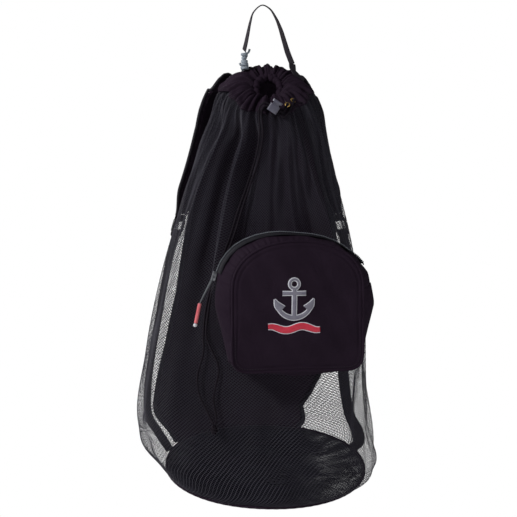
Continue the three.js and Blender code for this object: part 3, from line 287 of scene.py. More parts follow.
# Uneven finish: soft patches of a given size, from handling and fading.
uneven, given, result = effect("uneven", ("Size", 0.05))
noise = uneven.nodes.new("ShaderNodeTexNoise")
noise.inputs["Detail"].default_value = 4
noise.inputs["Roughness"].default_value = 0.6
uneven.links.new(given.outputs["Vector"], noise.inputs["Vector"])
uneven.links.new(reckon(uneven, "DIVIDE", 1, given.outputs["Size"]), noise.inputs["Scale"])
spread = reckon(uneven, "MULTIPLY_ADD", noise.outputs["Fac"], 2.4, -0.7)
uneven.links.new(reckon(uneven, "MINIMUM", reckon(uneven, "MAXIMUM", spread, 0), 1), result.inputs[0])

# Creases: sharp little ridges of a given size, as in thin cloth that has been folded and crushed.
creased, given, result = effect("creased", ("Size", 0.03))
noise = creased.nodes.new("ShaderNodeTexNoise")
noise.inputs["Detail"].default_value = 3
noise.inputs["Distortion"].default_value = 0.6
creased.links.new(given.outputs["Vector"], noise.inputs["Vector"])
creased.links.new(reckon(creased, "DIVIDE", 1, given.outputs["Size"]), noise.inputs["Scale"])
ridge = reckon(creased, "ABSOLUTE", reckon(creased, "SUBTRACT", noise.outputs["Fac"], 0.5))
creased.links.new(reckon(creased, "SUBTRACT", 1, reckon(creased, "MULTIPLY", ridge, 4)), result.inputs[0])


def finish(name, colour, faded, rough, gloss, texture, pitch, relief, crease=(0.03, 0.0), patch=0.05, metal=0.0):
    """A material whose colour and roughness change in patches, with a weave or grain and creases in relief."""
    material = bpy.data.materials.new(name)
    material.use_nodes = True
    tree = material.node_tree
    shader = tree.nodes["Principled BSDF"]
    shader.inputs["Specular IOR Level"].default_value = gloss
    shader.inputs["Metallic"].default_value = metal
    coordinates = tree.nodes.new("ShaderNodeTexCoord")
    own = tree.nodes.new("ShaderNodeUVMap")
    own.uv_map = "along"

    def placed(kind, vector, label, value):
        """One effect's value over the surface, at a size of its own."""
        node = tree.nodes.new("ShaderNodeGroup")
        node.node_tree = kind
        node.inputs[label].default_value = value
        tree.links.new(vector, node.inputs["Vector"])
        return node.outputs["Value"]

    patches = placed(uneven, coordinates.outputs["Object"], "Size", patch)
    tint = tree.nodes.new("ShaderNodeMix")
    tint.data_type = "RGBA"
    tint.inputs["A"].default_value = (*colour, 1)
    tint.inputs["B"].default_value = (*faded, 1)
    tree.links.new(patches, tint.inputs["Factor"])
    tree.links.new(tint.outputs["Result"], shader.inputs["Base Color"])
    tree.links.new(reckon(tree, "MULTIPLY_ADD", patches, rough[1] - rough[0], rough[0]), shader.inputs["Roughness"])
    if texture is uneven:
        fine = placed(uneven, coordinates.outputs["Object"], "Size", pitch)
    else:
        fine = placed(texture, own.outputs["UV"], "Pitch", pitch)
    height = reckon(tree, "MULTIPLY", fine, relief)
    if crease[1]:
        folds = placed(creased, coordinates.outputs["Object"], "Size", crease[0])
        height = reckon(tree, "MULTIPLY_ADD", folds, crease[1], height)
    bump = tree.nodes.new("ShaderNodeBump")
    bump.inputs["Distance"].default_value = 1
    tree.links.new(height, bump.inputs["Height"])
    tree.links.new(bump.outputs["Normal"], shader.inputs["Normal"])
    return material


def joins(piece, slot, *replaced, body="bag"):
    """A piece moves with its body, the bag unless another is given, and stands for the nodes it replaces. The slot is
    not used.
    """
    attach(piece, body)
    for node in replaced:
        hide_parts(node)
    return piece


def cord(name, path, radius, material, strands, twist, relief, closed=False, sides=12):
    """A braided cord: its strands cross at a twist per metre and stand out by a share of its radius."""
    return tube(name, path, radius, sides, material, closed, strands, twist, relief)


cord_finish = finish(
    "braided_cord", (0.005, 0.0036, 0.0056), (0.009, 0.007, 0.0098), (0.75, 0.88), 0.05, ribbed, 0.0011, 0.00014
)
turns = np.linspace(0, 1, 90)
swell = np.sin(np.pi * np.clip(turns, 0.04, 0.96)) ** 0.4
wound = END_KNOT + np.stack(
    [
        (END_KNOT_RADIUS - 0.0019) * np.cos(turns * 19) * swell,
        (END_KNOT_RADIUS - 0.0021) * np.sin(turns * 19) * swell,
        (0.5 - turns) * (END_KNOT_TALL - 0.004),
    ],
    axis=1,
)
end_knot = cord("drawstring_end_knot", smooth_path(wound[::3], 0.0009), 0.0021, cord_finish, 8, 900, 0.1)
joins(end_knot, "cord", "drawstring_knot")

for side, route in STRANDS.items():
    path = smooth_path([Vector(p) * 0.001 for p in route], 0.0012)
    strand = cord(f"drawstring_{side}_braid", path, CORD / 2 * 0.94, cord_finish, 8, 900, 0.1, sides=14)
    joins(strand, "cord", f"drawstring_{side}")
    tuple(float(v) for v in path[0])
    round(float(distances(path)[-1]), 4)
    [tuple(float(v) for v in p) for p in path]

# Sack: dark knotted net over the front and both sides, with diamond holes. Its strands stay as many at
# the top as at the foot, so it closes up where the collar gathers it, and it hangs in folds from there.
# LEVELS gives the sack's cross-section level by level, from the hem down: shares of its named sizes, and
# angles in degrees. FOLDS are its large folds: the angle at the top and the foot, the spread, the depth,
# and the levels where it begins, is whole and ends. PANEL_EDGES gives the back panel's seams: a level,
# and how far from the middle of the back the left and the right one lie.
LEVELS = {
    "drop": (0.021, 0, 0.011, 0.043, 0.104, 0.181, 0.276, 0.411, 0.565, 0.718, 0.846, 0.923, 0.975, 1),
    "shift": (0.05, 0.045, 0.035, 0.03, 0.04, 0.015, -0.01, -0.01, -0.02, -0.06, -0.065, -0.04, 0.035, 0.03),
    "half": (0.105, 0.21, 0.31, 0.395, 0.463, 0.545, 0.63, 0.75, 0.86, 0.925, 0.975, 0.985, 0.935, 0.85),
    "depth": (0.19, 0.28, 0.36, 0.44, 0.51, 0.6, 0.68, 0.78, 0.86, 0.92, 0.97, 1, 0.99, 0.935),
    "square": (2, 2, 2, 2, 2, 2.1, 2.2, 2.4, 2.6, 2.6, 2.5, 2.4, 2.2, 2.1),
    "tilt": (42, 32, 27, 22, 16, 10, 6, 3, 2, 3, 6, 10, 13, 14),
    "roll": (0, 0, 0, 0, 0, 0, 0, 0, 0, 1, 2, 3, 2.6, 1.6),
    "gather": (0.005, 0.016, 0.02, 0.02, 0.013, 0.006, 0.002, 0, 0, 0, 0, 0, 0, 0),
}
FOLDS = [
    (-34, -31, 8, 0.095, 2.2, 5, 10.5),
    (-23, -24, 6, -0.03, 2.5, 5, 9),
    (-12, -17, 6, 0.055, 2.2, 4.5, 8),
    (38, 46, 6, 0.045, 2.2, 4, 7.5),
    (50, 50, 15, -0.1, 5.5, 7.8, 10.4),
    (54, 56, 7, -0.02, 2.5, 5, 8),
    (-62, -68, 8, 0.045, 1.8, 3.6, 5.6),
    (-158, -164, 8, 0.04, 5.4, 7.5, 10.5),
    (160, 166, 8, 0.04, 5.4, 7.5, 10.5),
]
PANEL_EDGES = (
    (3, 44, 40), (5, 54, 48), (6.5, 55, 53), (8, 49, 50), (9, 50, 41), (10, 55, 30), (11, 59, 22), (13, 62, 18)
)
MOUTH_DROP, SACK_DROP, HALF_WIDTH, HALF_DEPTH = 0.126, 0.658, 0.2, 0.165
NET_TOP, NET_FOOT, SACK_FOOT = 3.0, 12.95, 13.0


def column(name, level):
    """One column of LEVELS at fractional rows, on a smooth curve."""
    rows = np.array(LEVELS[name], float)
    i = np.clip(np.floor(level).astype(int), 0, len(rows) - 2)
    t = level - i
    p = [rows[np.clip(i + n, 0, len(rows) - 1)] for n in (-1, 0, 1, 2)]
    m0, m1 = (p[2] - p[0]) / 2, (p[3] - p[1]) / 2
    return hermite(t, p[1], p[2], m0, m1)


def smoothstep(x, low, high):
    """A share that grows smoothly from nothing to one between two values."""
    t = np.clip((x - low) / (high - low), 0, 1)
    return t * t * (3 - 2 * t)


def off_line(angle, level, top, foot, start, end):
    """How far an angle is from a line down the sack, given its angles at its top and its foot."""
    middle = top + (foot - top) * np.clip((level - start) / (end - start), 0, 1)
    return (angle - middle + 180) % 360 - 180


def bell(off, spread):
    """One on a line, and less and less away from it."""
    return np.exp(-((off / spread) ** 2))


def swelling(level, start, whole, end):
    """A share that grows to one and fades again, down the levels."""
    return smoothstep(level, start, whole) * (1 - smoothstep(level, whole, end))


def fold_depth(angle, level):
    """How far the wall stands in at the gathers and the large folds, as a share."""
    depth = -column("gather", level) * np.cos(np.radians(12 * angle))
    for top, foot, spread, deep, start, whole, end in FOLDS:
        off = off_line(angle, level, top, foot, start, end)
        depth = depth + deep * swelling(level, start, whole, end) * bell(off, spread)
    return depth


def sack(angle, level):
    """The middle of the sack's wall, at angles round it from the front and at levels from its hem down."""
    angle, level = np.broadcast_arrays(np.asarray(angle, float), np.asarray(level, float))
    half, depth = column("half", level) * HALF_WIDTH, column("depth", level) * HALF_DEPTH
    square = column("square", level)
    tilt, roll = np.radians(column("tilt", level)), np.radians(column("roll", level))
    s, c = np.sin(np.radians(angle)), np.cos(np.radians(angle))
    out = (np.abs(s) ** square + np.abs(c) ** square) ** (-1 / square)
    folded = 1 - fold_depth(angle, level) * HALF_WIDTH / np.minimum(half, depth)
    x, y = half * s * out * folded, -depth * c * out * folded
    return np.stack(
        [
            column("shift", level) * HALF_WIDTH + x * np.cos(roll),
            y * np.cos(tilt),
            -MOUTH_DROP - column("drop", level) * SACK_DROP + y * np.sin(tilt) - x * np.sin(roll),
        ],
        axis=-1,
    )


def place_on(angle, level, lift=0.0):
    """A place over the sack's wall, and the ways right, up and out of the wall there."""
    angle, level = np.broadcast_arrays(np.asarray(angle, float), np.asarray(level, float))
    right = unit(sack(angle + 0.01, level) - sack(angle - 0.01, level))
    up = unit(sack(angle, level - 0.01) - sack(angle, level + 0.01))
    out = unit(np.cross(right, up))
    lift = np.asarray(lift, float)
    return sack(angle, level) + out * lift[..., None], right, np.cross(out, right), out


# Small drapes below the collar: the angle at the top and the foot, the spread, the depth and the last level.
DRAPES = (
    (-50, -56, 2.8, 0.009, 9), (-38, -35, 4.5, -0.011, 11), (-23, -27, 3, 0.008, 9.5), (-11, -16, 2.6, -0.008, 9),
    (-2, -5, 2.2, 0.004, 7), (8, 9, 2.6, -0.006, 7), (19, 24, 3, 0.008, 8.5), (29, 37, 2.6, -0.007, 9),
    (42, 50, 3.2, 0.009, 9), (56, 63, 3.5, -0.007, 9), (68, 74, 5, 0.005, 9), (-70, -76, 5, -0.006, 9),
    (-88, -92, 5, 0.005, 10),
)


def rumple(angle, level):
    """How far the cloth stands out in its small wrinkles: fine pleats below the collar, softer ones lower."""
    a = np.radians(angle)
    pleats = 0.0017 * np.cos(37 * a + 1.2 * np.sin(3 * a) + 0.5 * level) + 0.0012 * np.cos(23 * a - 0.9 * level)
    pleats = pleats + 0.0009 * np.cos(61 * a + 2.2 * np.sin(2 * a))
    slack = 0.0024 * np.cos(13 * a + 1.7 * np.sin(0.9 * level)) + 0.0019 * np.sin(9 * a - 1.1 * level + 0.7)
    slack = slack + 0.0015 * np.sin(17 * a + 2.1 * level)
    for top, foot, spread, deep, last in DRAPES:
        off = off_line(angle, level, top, foot, NET_TOP, last)
        slack = slack + deep * (1 - smoothstep(level, 0.6 * last, last)) * bell(off, spread)
    fade = np.exp(-np.maximum(level - NET_TOP, 0) / 1.9)
    low = smoothstep(level, 10.5, 12.7)
    return pleats * fade * smoothstep(level, 1.5, 3.2) + slack * smoothstep(level, NET_TOP, 5) * (1 - 0.75 * low)


def outwards(place, u, v, small):
    """The way out of a surface, from its places a little further along u and up v."""
    return unit(np.cross(place(u + small, v) - place(u - small, v), place(u, v + small) - place(u, v - small)))


def seam_angle(side, level):
    """Where the net meets the back panel, as an angle round the sack."""
    rows = np.array(PANEL_EDGES, float)
    edge = np.interp(level, rows[:, 0], rows[:, 1 if side == "left" else 2])
    return -180 + edge if side == "left" else 180 - edge


levels_down = np.linspace(NET_TOP, NET_FOOT, 400)
drops = distances(sack(75, levels_down))


def level_at(v):
    """The level at a share of the way up from the net's foot to its top."""
    return np.interp((1 - v) * drops[-1], drops, levels_down)


def net_top(angle):
    """How far up the net is gathered under the collar: further at the sides than in front."""
    return NET_TOP - 0.3 * bell(angle, 60) - 0.8 * bell(angle + 68, 30) - 0.45 * bell(angle - 78, 28)


# Where the net's threads crowd together in soft folds: the angle at the fold's top and foot, its spread,
# how much it crowds, and the levels between which it grows and ends.
CROWDED = (
    (49, 54, 16, 0.9, 8.2, 9.2, 12.6), (126, 130, 13, 0.8, 8.2, 9.2, 12.4), (62, 72, 9, 0.6, 3.6, 5, 8.5),
    (-80, -72, 15, 0.8, 10.4, 12, 15), (
        -108, -110, 12, 0.75, 10.4, 12, 15
    ), (-30, -30, 5, 0.35, 3, 4, 9), (12, 16, 5, 0.3, 3, 4, 8),
)


def net_place(u, v):
    """A place on the net: u goes from its left seam to its right one, and v from its foot to its top."""
    level = level_at(v)
    left, right = seam_angle("left", level) + 0.15, seam_angle("right", level) - 0.15
    angle = left + (right - left) * u
    moved = 0
    for top, foot, spread, much, start, whole, end in CROWDED:
        off = off_line(angle, level, top, foot, start, end)
        moved = moved - much * swelling(level, start, whole, end) * off * bell(off, spread)
    angle = angle + moved
    share = np.clip((NET_TOP - level + 3) / 3, 0, 1)
    level = level - (NET_TOP - net_top(angle)) * share**3
    return place_on(angle, level, rumple(angle, level))[0]


# Each strand is a thin three-sided thread that passes over and under those that it crosses. The net is
# made in four pieces, each of the threads whose middles lie in one quarter of its width.
columns, rows = 290, 268
THREAD, WEAVE = 0.0009, 0.00014
uu, vv = np.meshgrid(np.linspace(0, 1, columns + 1), np.linspace(0, 1, rows + 1), indexing="ij")
knots = net_place(uu, vv)
ways_out = outwards(net_place, np.clip(uu, 0.001, 0.999), np.clip(vv, 0.001, 0.999), 0.001)


def threads(lean):
    """The rows of knots that the threads of one lean run through."""
    starts = [(i, 0) for i in range(0, columns + 1, 2)]
    starts += [(0 if lean > 0 else columns, j) for j in range(2, rows + 1, 2)]
    for i, j in starts:
        run = []
        while 0 <= i <= columns and j <= rows:
            run.append((i, j))
            i, j = i + lean, j + 1
        if len(run) > 2:
            yield np.array(run)


net_finish = finish(
    "net", (0.0118, 0.0102, 0.0158), (0.019, 0.0178, 0.025), (0.5, 0.65), 0.14, uneven, 0.002, 0.0001, patch=0.07
)
pieces_of_net = {}
for lean in (1, -1):
    for run in threads(lean):
        i, j = run[:, 0], run[:, 1]
        at, out = knots[i, j], ways_out[i, j]
        side = unit(np.cross(out, np.gradient(at, axis=0)))
        over = (lean * WEAVE * np.where((i // 2 + j // 2) % 2 == 0, 1, -1))[:, None]
        middle = at + out * over
        under = middle - out * THREAD * 0.2
        ring = [under - side * THREAD / 2, under + side * THREAD / 2, middle + out * THREAD * 0.22]
        points = np.stack(ring, axis=1).reshape(-1, 3)
        k = np.arange(len(run) - 1)[:, None] * 3
        last = 3 * (len(run) - 1)
        quads = [tuple(q) for face in ((0, 3, 4, 1), (1, 4, 5, 2), (2, 5, 3, 0)) for q in (k + np.array(face)[None, :])]
        ends = [(0, 1, 2), (last + 2, last + 1, last)]
        quarter = min(int(i.mean() / (columns + 1) * 4), 3)
        pieces_of_net.setdefault(quarter, []).append((points, quads + ends))
names = ["net_left", "net_front_left", "net_front_right", "net_right"]
for quarter, parts in sorted(pieces_of_net.items()):
    points, faces, count = [], [], 0
    for part_points, part_faces in parts:
        points.append(part_points)
        faces += [tuple(i + count for i in face) for face in part_faces]
        count += len(part_points)
    piece = joins(new_mesh(names[quarter], np.concatenate(points), faces, net_finish), "net", "net")
    piece.data.shade_flat()


# Back panel: one piece of plain nylon cloth from seam to seam across the back, slack and softly creased,
# with its cut edges under the seam tapes.
nylon = finish(
    "nylon",
    (0.0082, 0.0042, 0.0088),
    (0.012, 0.0068, 0.0128),
    (0.66, 0.82),
    0.05,
    woven,
    0.0009,
    0.00009,
    (0.045, 0.0007),
    0.09,
)


def only(piece):
    """One piece selected and active, as the operators need."""
    bpy.ops.object.select_all(action="DESELECT")
    piece.select_set(True)
    bpy.context.view_layer.objects.active = piece


def modified(piece, kind, **settings):
    """A piece with one modifier applied to it."""
    only(piece)
    modifier = piece.modifiers.new(kind, kind)
    for setting, value in settings.items():
        setattr(modifier, setting, value)
    bpy.ops.object.modifier_apply(modifier=kind)
    return piece


def faces_out(piece):
    """A closed piece with all its faces turned outwards."""
    only(piece)
    bpy.ops.object.mode_set(mode="EDIT")
    bpy.ops.mesh.select_all(action="SELECT")
    bpy.ops.mesh.normals_make_consistent(inside=False)
    bpy.ops.object.mode_set(mode="OBJECT")
    return piece


def shaped(name, across, up, place, material, wall, size=None, joined=False):
    """Cloth: a flat grid whose corners are put in their places, with a wall of its own thickness."""
    bpy.ops.mesh.primitive_grid_add(x_subdivisions=across, y_subdivisions=up, size=1, calc_uvs=True)
    piece = bpy.context.object
    piece.name = piece.data.name = name
    mesh = piece.data
    flat = np.empty(3 * len(mesh.vertices))
    mesh.vertices.foreach_get("co", flat)
    flat = flat.reshape(-1, 3) + 0.5
    at = place(flat[:, 0], flat[:, 1])
    mesh.vertices.foreach_set("co", at.ravel())
    layer = mesh.uv_layers[0]
    layer.name = "along"
    uvs = np.empty(2 * len(mesh.loops))
    layer.data.foreach_get("uv", uvs)
    if size is None:
        size = (np.linalg.norm(np.ptp(at, axis=0)[:2]) * 1.2, np.ptp(at[:, 2]))
    layer.data.foreach_set("uv", (uvs.reshape(-1, 2) * size).ravel())
    mesh.materials.append(material)
    if joined:
        bpy.ops.object.mode_set(mode="EDIT")
        bpy.ops.mesh.select_all(action="SELECT")
        bpy.ops.mesh.remove_doubles(threshold=1e-6)
        bpy.ops.mesh.dissolve_degenerate(threshold=1e-7)
        bpy.ops.object.mode_set(mode="OBJECT")
    modified(piece, "SOLIDIFY", thickness=wall, offset=0)
    mesh.shade_smooth()
    return piece


def panel_place(u, v):
    """A place on the back panel: u goes from its right seam to its left one, and v from its foot to its top."""
    level = level_at(v)
    right, left = seam_angle("right", level) + 0.3, seam_angle("left", level) + 360 - 0.3
    angle = right + (left - right) * u
    a = np.radians(angle)
    soft = 0.0022 * np.sin(7 * a + 0.8 * level) + 0.0014 * np.sin(15 * a - 0.5 * level)
    soft = soft + 0.0009 * np.sin(31 * a + 1.3 * level)
    fade = np.sin(np.pi * np.clip(u, 0, 1)) ** 0.5 * np.sin(np.pi * np.clip(v, 0.02, 0.98)) ** 0.4
    return place_on(angle, level, soft * fade)[0]


back_panel = joins(shaped("back_panel_cloth", 76, 120, panel_place, nylon, 0.0016), "nylon", "back_panel")

# Seam tapes: a woven binding folded over the net's and the panel's edges on each side of the back, and
# held by two rows of stitches.
binding = finish(
    "binding", (0.0095, 0.008, 0.011), (0.016, 0.014, 0.018), (0.7, 0.85), 0.12, ribbed, 0.0016, 0.0002, patch=0.03
)
thread = finish("thread", (0.008, 0.006, 0.009), (0.013, 0.01, 0.014), (0.6, 0.75), 0.15, uneven, 0.001, 0.00004)
TAPE, TAPE_CROWN = 0.0118, 0.35
STITCH, STITCH_GAP, STITCH_THICK = 0.0032, 0.0012, 0.0008


def tape(name, path, across, width, thickness, material, cells=8, closed=False):
    """A flat strap along a path, a little thinner at its edges, from the way across it at each place."""
    n, ways = len(path), ways_along(path, closed)
    across = unit(across - ways * np.sum(across * ways, axis=1, keepdims=True))
    out = np.cross(across, ways)
    width = np.broadcast_to(np.asarray(width, float), (n,))[:, None, None] / 2
    thickness = np.broadcast_to(np.asarray(thickness, float), (n,))[:, None, None] / 2
    s = np.linspace(-1, 1, cells + 1)
    face = 1 - TAPE_CROWN * np.abs(s) ** 4
    section = np.concatenate([np.stack([s, face], 1), np.stack([s[::-1], -face], 1)])
    points = path[:, None] + across[:, None] * section[None, :, :1] * width
    points = points + out[:, None] * section[None, :, 1:] * thickness
    sides = len(section)
    along = distances(path)
    faces, uvs = [], []
    flat = section[:, 0]
    for i in range(n if closed else n - 1):
        m = (i + 1) % n
        step = along[m] if m else along[i] + np.linalg.norm(path[0] - path[i])
        w = float(width[i, 0, 0])
        for j in range(sides):
            k = (j + 1) % sides
            faces.append((i * sides + j, m * sides + j, m * sides + k, i * sides + k))
            uvs += [(w * flat[j], along[i]), (w * flat[j], step), (w * flat[k], step), (w * flat[k], along[i])]
    if not closed:
        faces += [tuple(range(sides)), tuple(reversed(range((n - 1) * sides, n * sides)))]
        uvs += [(0, 0)] * (2 * sides)
    piece = faces_out(new_mesh(name, points.reshape(-1, 3), faces, material, uvs))
    bpy.ops.object.shade_smooth_by_angle(angle=math.radians(50))
    return piece


def rods(name, rings, sides, material):
    """Many short closed rods in one piece, each of four rings of points."""
    faces = []
    for base in range(0, len(rings) * sides, 4 * sides):
        for ring in range(base, base + 3 * sides, sides):
            for j in range(sides):
                k = (j + 1) % sides
                faces.append((ring + j, ring + k, ring + sides + k, ring + sides + j))
        faces += [tuple(base + j for j in reversed(range(sides))), tuple(base + 3 * sides + j for j in range(sides))]
    return faces_out(new_mesh(name, np.concatenate(rings), faces, material))


def stitches(name, path, out):
    """A row of stitches along a path on a surface: short threads that dip into it at both ends."""
    along = distances(path)
    count = int(along[-1] // (STITCH + STITCH_GAP))
    where = (np.arange(count) + 0.5) * along[-1] / count
    at = read_off(where, along, path)
    way = unit(read_off(where + STITCH / 2, along, path) - read_off(where - STITCH / 2, along, path))
    up = unit(read_off(where, along, out))
    side = unit(np.cross(way, up))
    turns = np.arange(5) * 2 * math.pi / 5
    rings = []
    for n in range(count):
        turned_by = side[n] * np.cos(turns)[:, None] + up[n] * np.sin(turns)[:, None]
        for t, r, h in ((-0.5, 0.35, -0.6), (-0.28, 1, 0.2), (0.28, 1, 0.2), (0.5, 0.35, -0.6)):
            centre = at[n] + way[n] * t * STITCH + up[n] * h * STITCH_THICK * 0.5
            rings.append(centre + turned_by * r * STITCH_THICK / 2)
    return joins(rods(name, rings, 5, thread), "cord")


for side in ("left", "right"):
    levels = level_at(np.linspace(0.004, 0.996, 320))
    at, right, up, out = place_on(seam_angle(side, levels), levels, np.full(320, 0.0028))
    joins(tape(f"seam_tape_{side}_cloth", at, right, TAPE, 0.0013, binding), "webbing", f"seam_tape_{side}")
    for row, shift in (("inner", -0.0035), ("outer", 0.0035)):
        stitches(f"seam_{side}_{row}_stitches", at + right * shift + out * 0.00075, out)

# Base: a round of nylon with a shiny waterproof coat, which sags a little, is gathered into the seam at
# its rim and shows the ripples of the load that it has carried.
coated = finish(
    "coated_nylon",
    (0.0055, 0.005, 0.0075),
    (0.009, 0.0085, 0.012),
    (0.26, 0.4),
    0.3,
    woven,
    0.0009,
    0.000008,
    (0.05, 0.0012),
    0.08,
)
BASE_MIDDLE, BASE_UP = np.array((0.006, 0, -0.784)), np.array((0.0271, -0.2418, 0.9699))


def base_place(u, v):
    """A place on the base: u goes round it and v from its middle to its rim."""
    angle, share = u * 360 - 180, np.clip(v, 0, 1) * 0.992
    a = np.radians(angle)
    at = BASE_MIDDLE + (sack(angle, SACK_FOOT) - BASE_MIDDLE) * share[:, None]
    pucker = 0.0016 * np.cos(29 * a + 1.5 * np.sin(2 * a)) * share**5 * (1 - share**30)
    ripple = (0.0021 * np.sin(5 * a + 9 * share) + 0.0018 * np.sin(3 * a - 14 * share)) * share * (1 - share) * 3
    return at + BASE_UP * (-0.016 * (1 - share**2) + pucker + ripple)[:, None]


base = joins(
    shaped("base_cloth", 140, 48, base_place, coated, 0.0018, size=(1.05, 0.17), joined=True), "coated_cloth", "base"
)

# Base piping: a cord in a strip of the coated cloth, sewn in where the sack meets the base.
angles = np.linspace(-180, 180, 601)[:-1]
radius = 0.0024 * (1 + 0.05 * np.sin(np.radians(angles) * 74))
piping = tube("base_piping_cord", sack(angles, SACK_FOOT), radius, 14, nylon, closed=True)
joins(piping, "coated_cloth", "base_piping")

# Collar: plain nylon drawn up in close pleats round the mouth. Its top edge is folded over as a channel
# for the drawstring, and its foot is turned in and stitched over the top of the net.
HEM = 0.011


def pleat(angle, level):
    """How far the collar stands out in its pleats."""
    a = np.radians(angle)
    gather = lambda count, drift: 2 * np.abs(np.cos(count * a / 2 + drift)) - 1.27
    deep = 0.0034 * gather(14, 0.9 * np.sin(2 * a) + 0.3 * level) + 0.0022 * gather(22, 1.3 * np.sin(3 * a + 1))
    deep = deep + 0.0013 * gather(40, 1.1 * np.sin(2 * a + 2) - 0.2 * level)
    return deep * (1 - 0.35 * smoothstep(level, 1.6, 3.2)) * (0.3 + 0.7 * smoothstep(level, 0.2, 1.1))


def collar_place(u, v):
    """A place on the collar: u goes round it from the back and v from its foot to its hem."""
    angle = u * 360 - 180
    foot = net_top(angle) + 0.14
    level = foot - (foot - 0.26) * v
    stand = 0.0021 * smoothstep(level, foot - 0.55, foot - 0.2)
    stand = stand + rumple(angle, level) * smoothstep(level, foot - 0.8, foot)
    return place_on(angle, level, pleat(angle, level) + stand)[0]


joins(shaped("collar_cloth", 330, 44, collar_place, nylon, 0.0014, size=(1.1, 0.12), joined=True), "nylon", "collar")
angles = np.linspace(-180, 180, 481)[:-1]
a = np.radians(angles)
swell = 1 + 34 * pleat(angles, np.full(480, 1.0))
ruffle = sack(angles, 0)
ruffle[:, 2] += 0.0012 * np.cos(19 * a) + 0.0006 * np.sin(37 * a)
joins(tube("collar_channel", ruffle, HEM / 2 * swell, 18, nylon, closed=True), "nylon", "collar")
angles = np.linspace(-180, 180, 900)
for row, line, lift in (
    ("channel", np.full(900, 0.62), 0.0008),
    ("foot", net_top(angles) - 0.06, 0.0029),
    ("edge", net_top(angles) + 0.07, 0.0029),
):
    wrinkled = 0 if row == "channel" else rumple(angles, line)
    at, right, up, out = place_on(angles, line, pleat(angles, line) + lift + wrinkled)
    stitches(f"collar_{row}_stitches", at, out)

# Haul loop: a woven tape whose ends are sewn into the collar and tied on its left side.
webbing = finish(
    "webbing", (0.0105, 0.0085, 0.0115), (0.019, 0.016, 0.02), (0.68, 0.84), 0.12, ribbed, 0.0018, 0.0003, patch=0.03
)
LOOP = (
    (-30.2, 26.5, -74.6), (-27.1, 21.4, -62), (-23.3, 13.9, -44.4), (-19.5, 7.6, -26.7), (-13.9, 2.5, -10.3),
    (0, 0, 1), (12.6, 1.3, -4.7), (22.7, 5, -19.2), (30.9, 11.3, -38.1), (37.2, 20.2, -58.2),
    (43.5, 25.2, -78.4), (51, 27.7, -97.3), (53.1, 14.6, -108.7), (61.1, 16.4, -117.6), (70.3, 17.1, -125.3),
)
LOOP_ACROSS = (
    (-0.463, 0.884, 0.069), (-0.419, 0.906, 0.058), (-0.347, 0.937, 0.049), (-0.224, 0.973, 0.054),
    (-0.07, 0.996, 0.048), (0, 1, 0), (-0.054, 0.996, -0.067), (-0.201, 0.972, -0.12), (-0.375, 0.911, -0.174),
    (-0.517, 0.827, -0.22), (-0.627, 0.728, -0.276), (-0.719, 0.688, -0.098), (-0.312, -0.836, -0.451),
    (-0.312, -0.836, -0.451), (-0.312, -0.836, -0.451),
)


def evenly(points, table, spacing):
    """A smooth path through points in millimetres, with a table of directions spread along it."""
    path = smooth_path([Vector(p) * 0.001 for p in points], spacing)
    nearest = [int(np.argmin(np.linalg.norm(path - p, axis=1))) for p in np.array(points, float) * 0.001]
    return path, unit(read_off(np.arange(len(path)), nearest, np.array(table, float)))


path, across = evenly(LOOP[:12], LOOP_ACROSS[:12], 0.0016)
joins(tape("haul_loop_tape", path, across, TAPE, 0.0021, webbing), "webbing", "haul_loop")
path, across = evenly(LOOP[11:], (LOOP_ACROSS[12],) * 4, 0.0016)
joins(tape("haul_loop_foot", path, -across, TAPE, 0.0021, webbing), "webbing", "haul_loop")

# Loop knot: a piece of thin grey cord wound round the loop's left foot and tied, with two short tails.
KNOT_FOOT, KNOT_UP = np.array((-0.029, 0.0245, -0.1095)), np.array((-0.034, 0.057, 0.998))
grey_cord = finish(
    "grey_cord", (0.13, 0.15, 0.175), (0.2, 0.225, 0.25), (0.7, 0.85), 0.2, ribbed, 0.0012, 0.0002, patch=0.006
)
side = unit(np.cross(KNOT_UP, (0, 1, 0)))
front = np.cross(side, KNOT_UP)
turns = np.linspace(0, 1, 121)[:, None]
wide = 0.0033 + 0.001 * np.sin(6.5 * turns + 0.4) + 0.0005 * np.sin(17 * turns)
wound = KNOT_FOOT + KNOT_UP * (0.003 + 0.0275 * turns + 0.0013 * np.sin(turns * 31))
wound = wound + wide * (side * np.cos(turns * 42) + front * np.sin(turns * 42))
winding = cord("loop_knot_winding", smooth_path(wound, 0.0008), 0.0026, grey_cord, 8, 900, 0.12)
joins(winding, "grey_cord", "loop_knot")
for name, start, bends in (
    ("upper", 0.96, ((-0.004, 0.0005), (-0.0075, 0.003), (-0.0095, 0.008))),
    ("lower", 0.3, ((0.003, 0.001), (0.006, -0.001), (0.0085, 0.003))),
):
    foot = KNOT_FOOT + KNOT_UP * (0.003 + 0.027 * start)
    tail = [foot] + [foot + side * x + KNOT_UP * z + front * -0.0015 for x, z in bends]
    end = cord(f"loop_knot_{name}_tail", smooth_path(tail, 0.0008), 0.0017, grey_cord, 8, 900, 0.12)
    joins(end, "grey_cord", "loop_knot")

# Eyelets: two brass rings pressed through the channel's cloth, where the drawstring comes out.
brass = finish(
    "brass", (0.62, 0.4, 0.13), (0.5, 0.31, 0.1), (0.22, 0.4), 0.5, uneven, 0.002, 0.00003, patch=0.003, metal=1.0
)


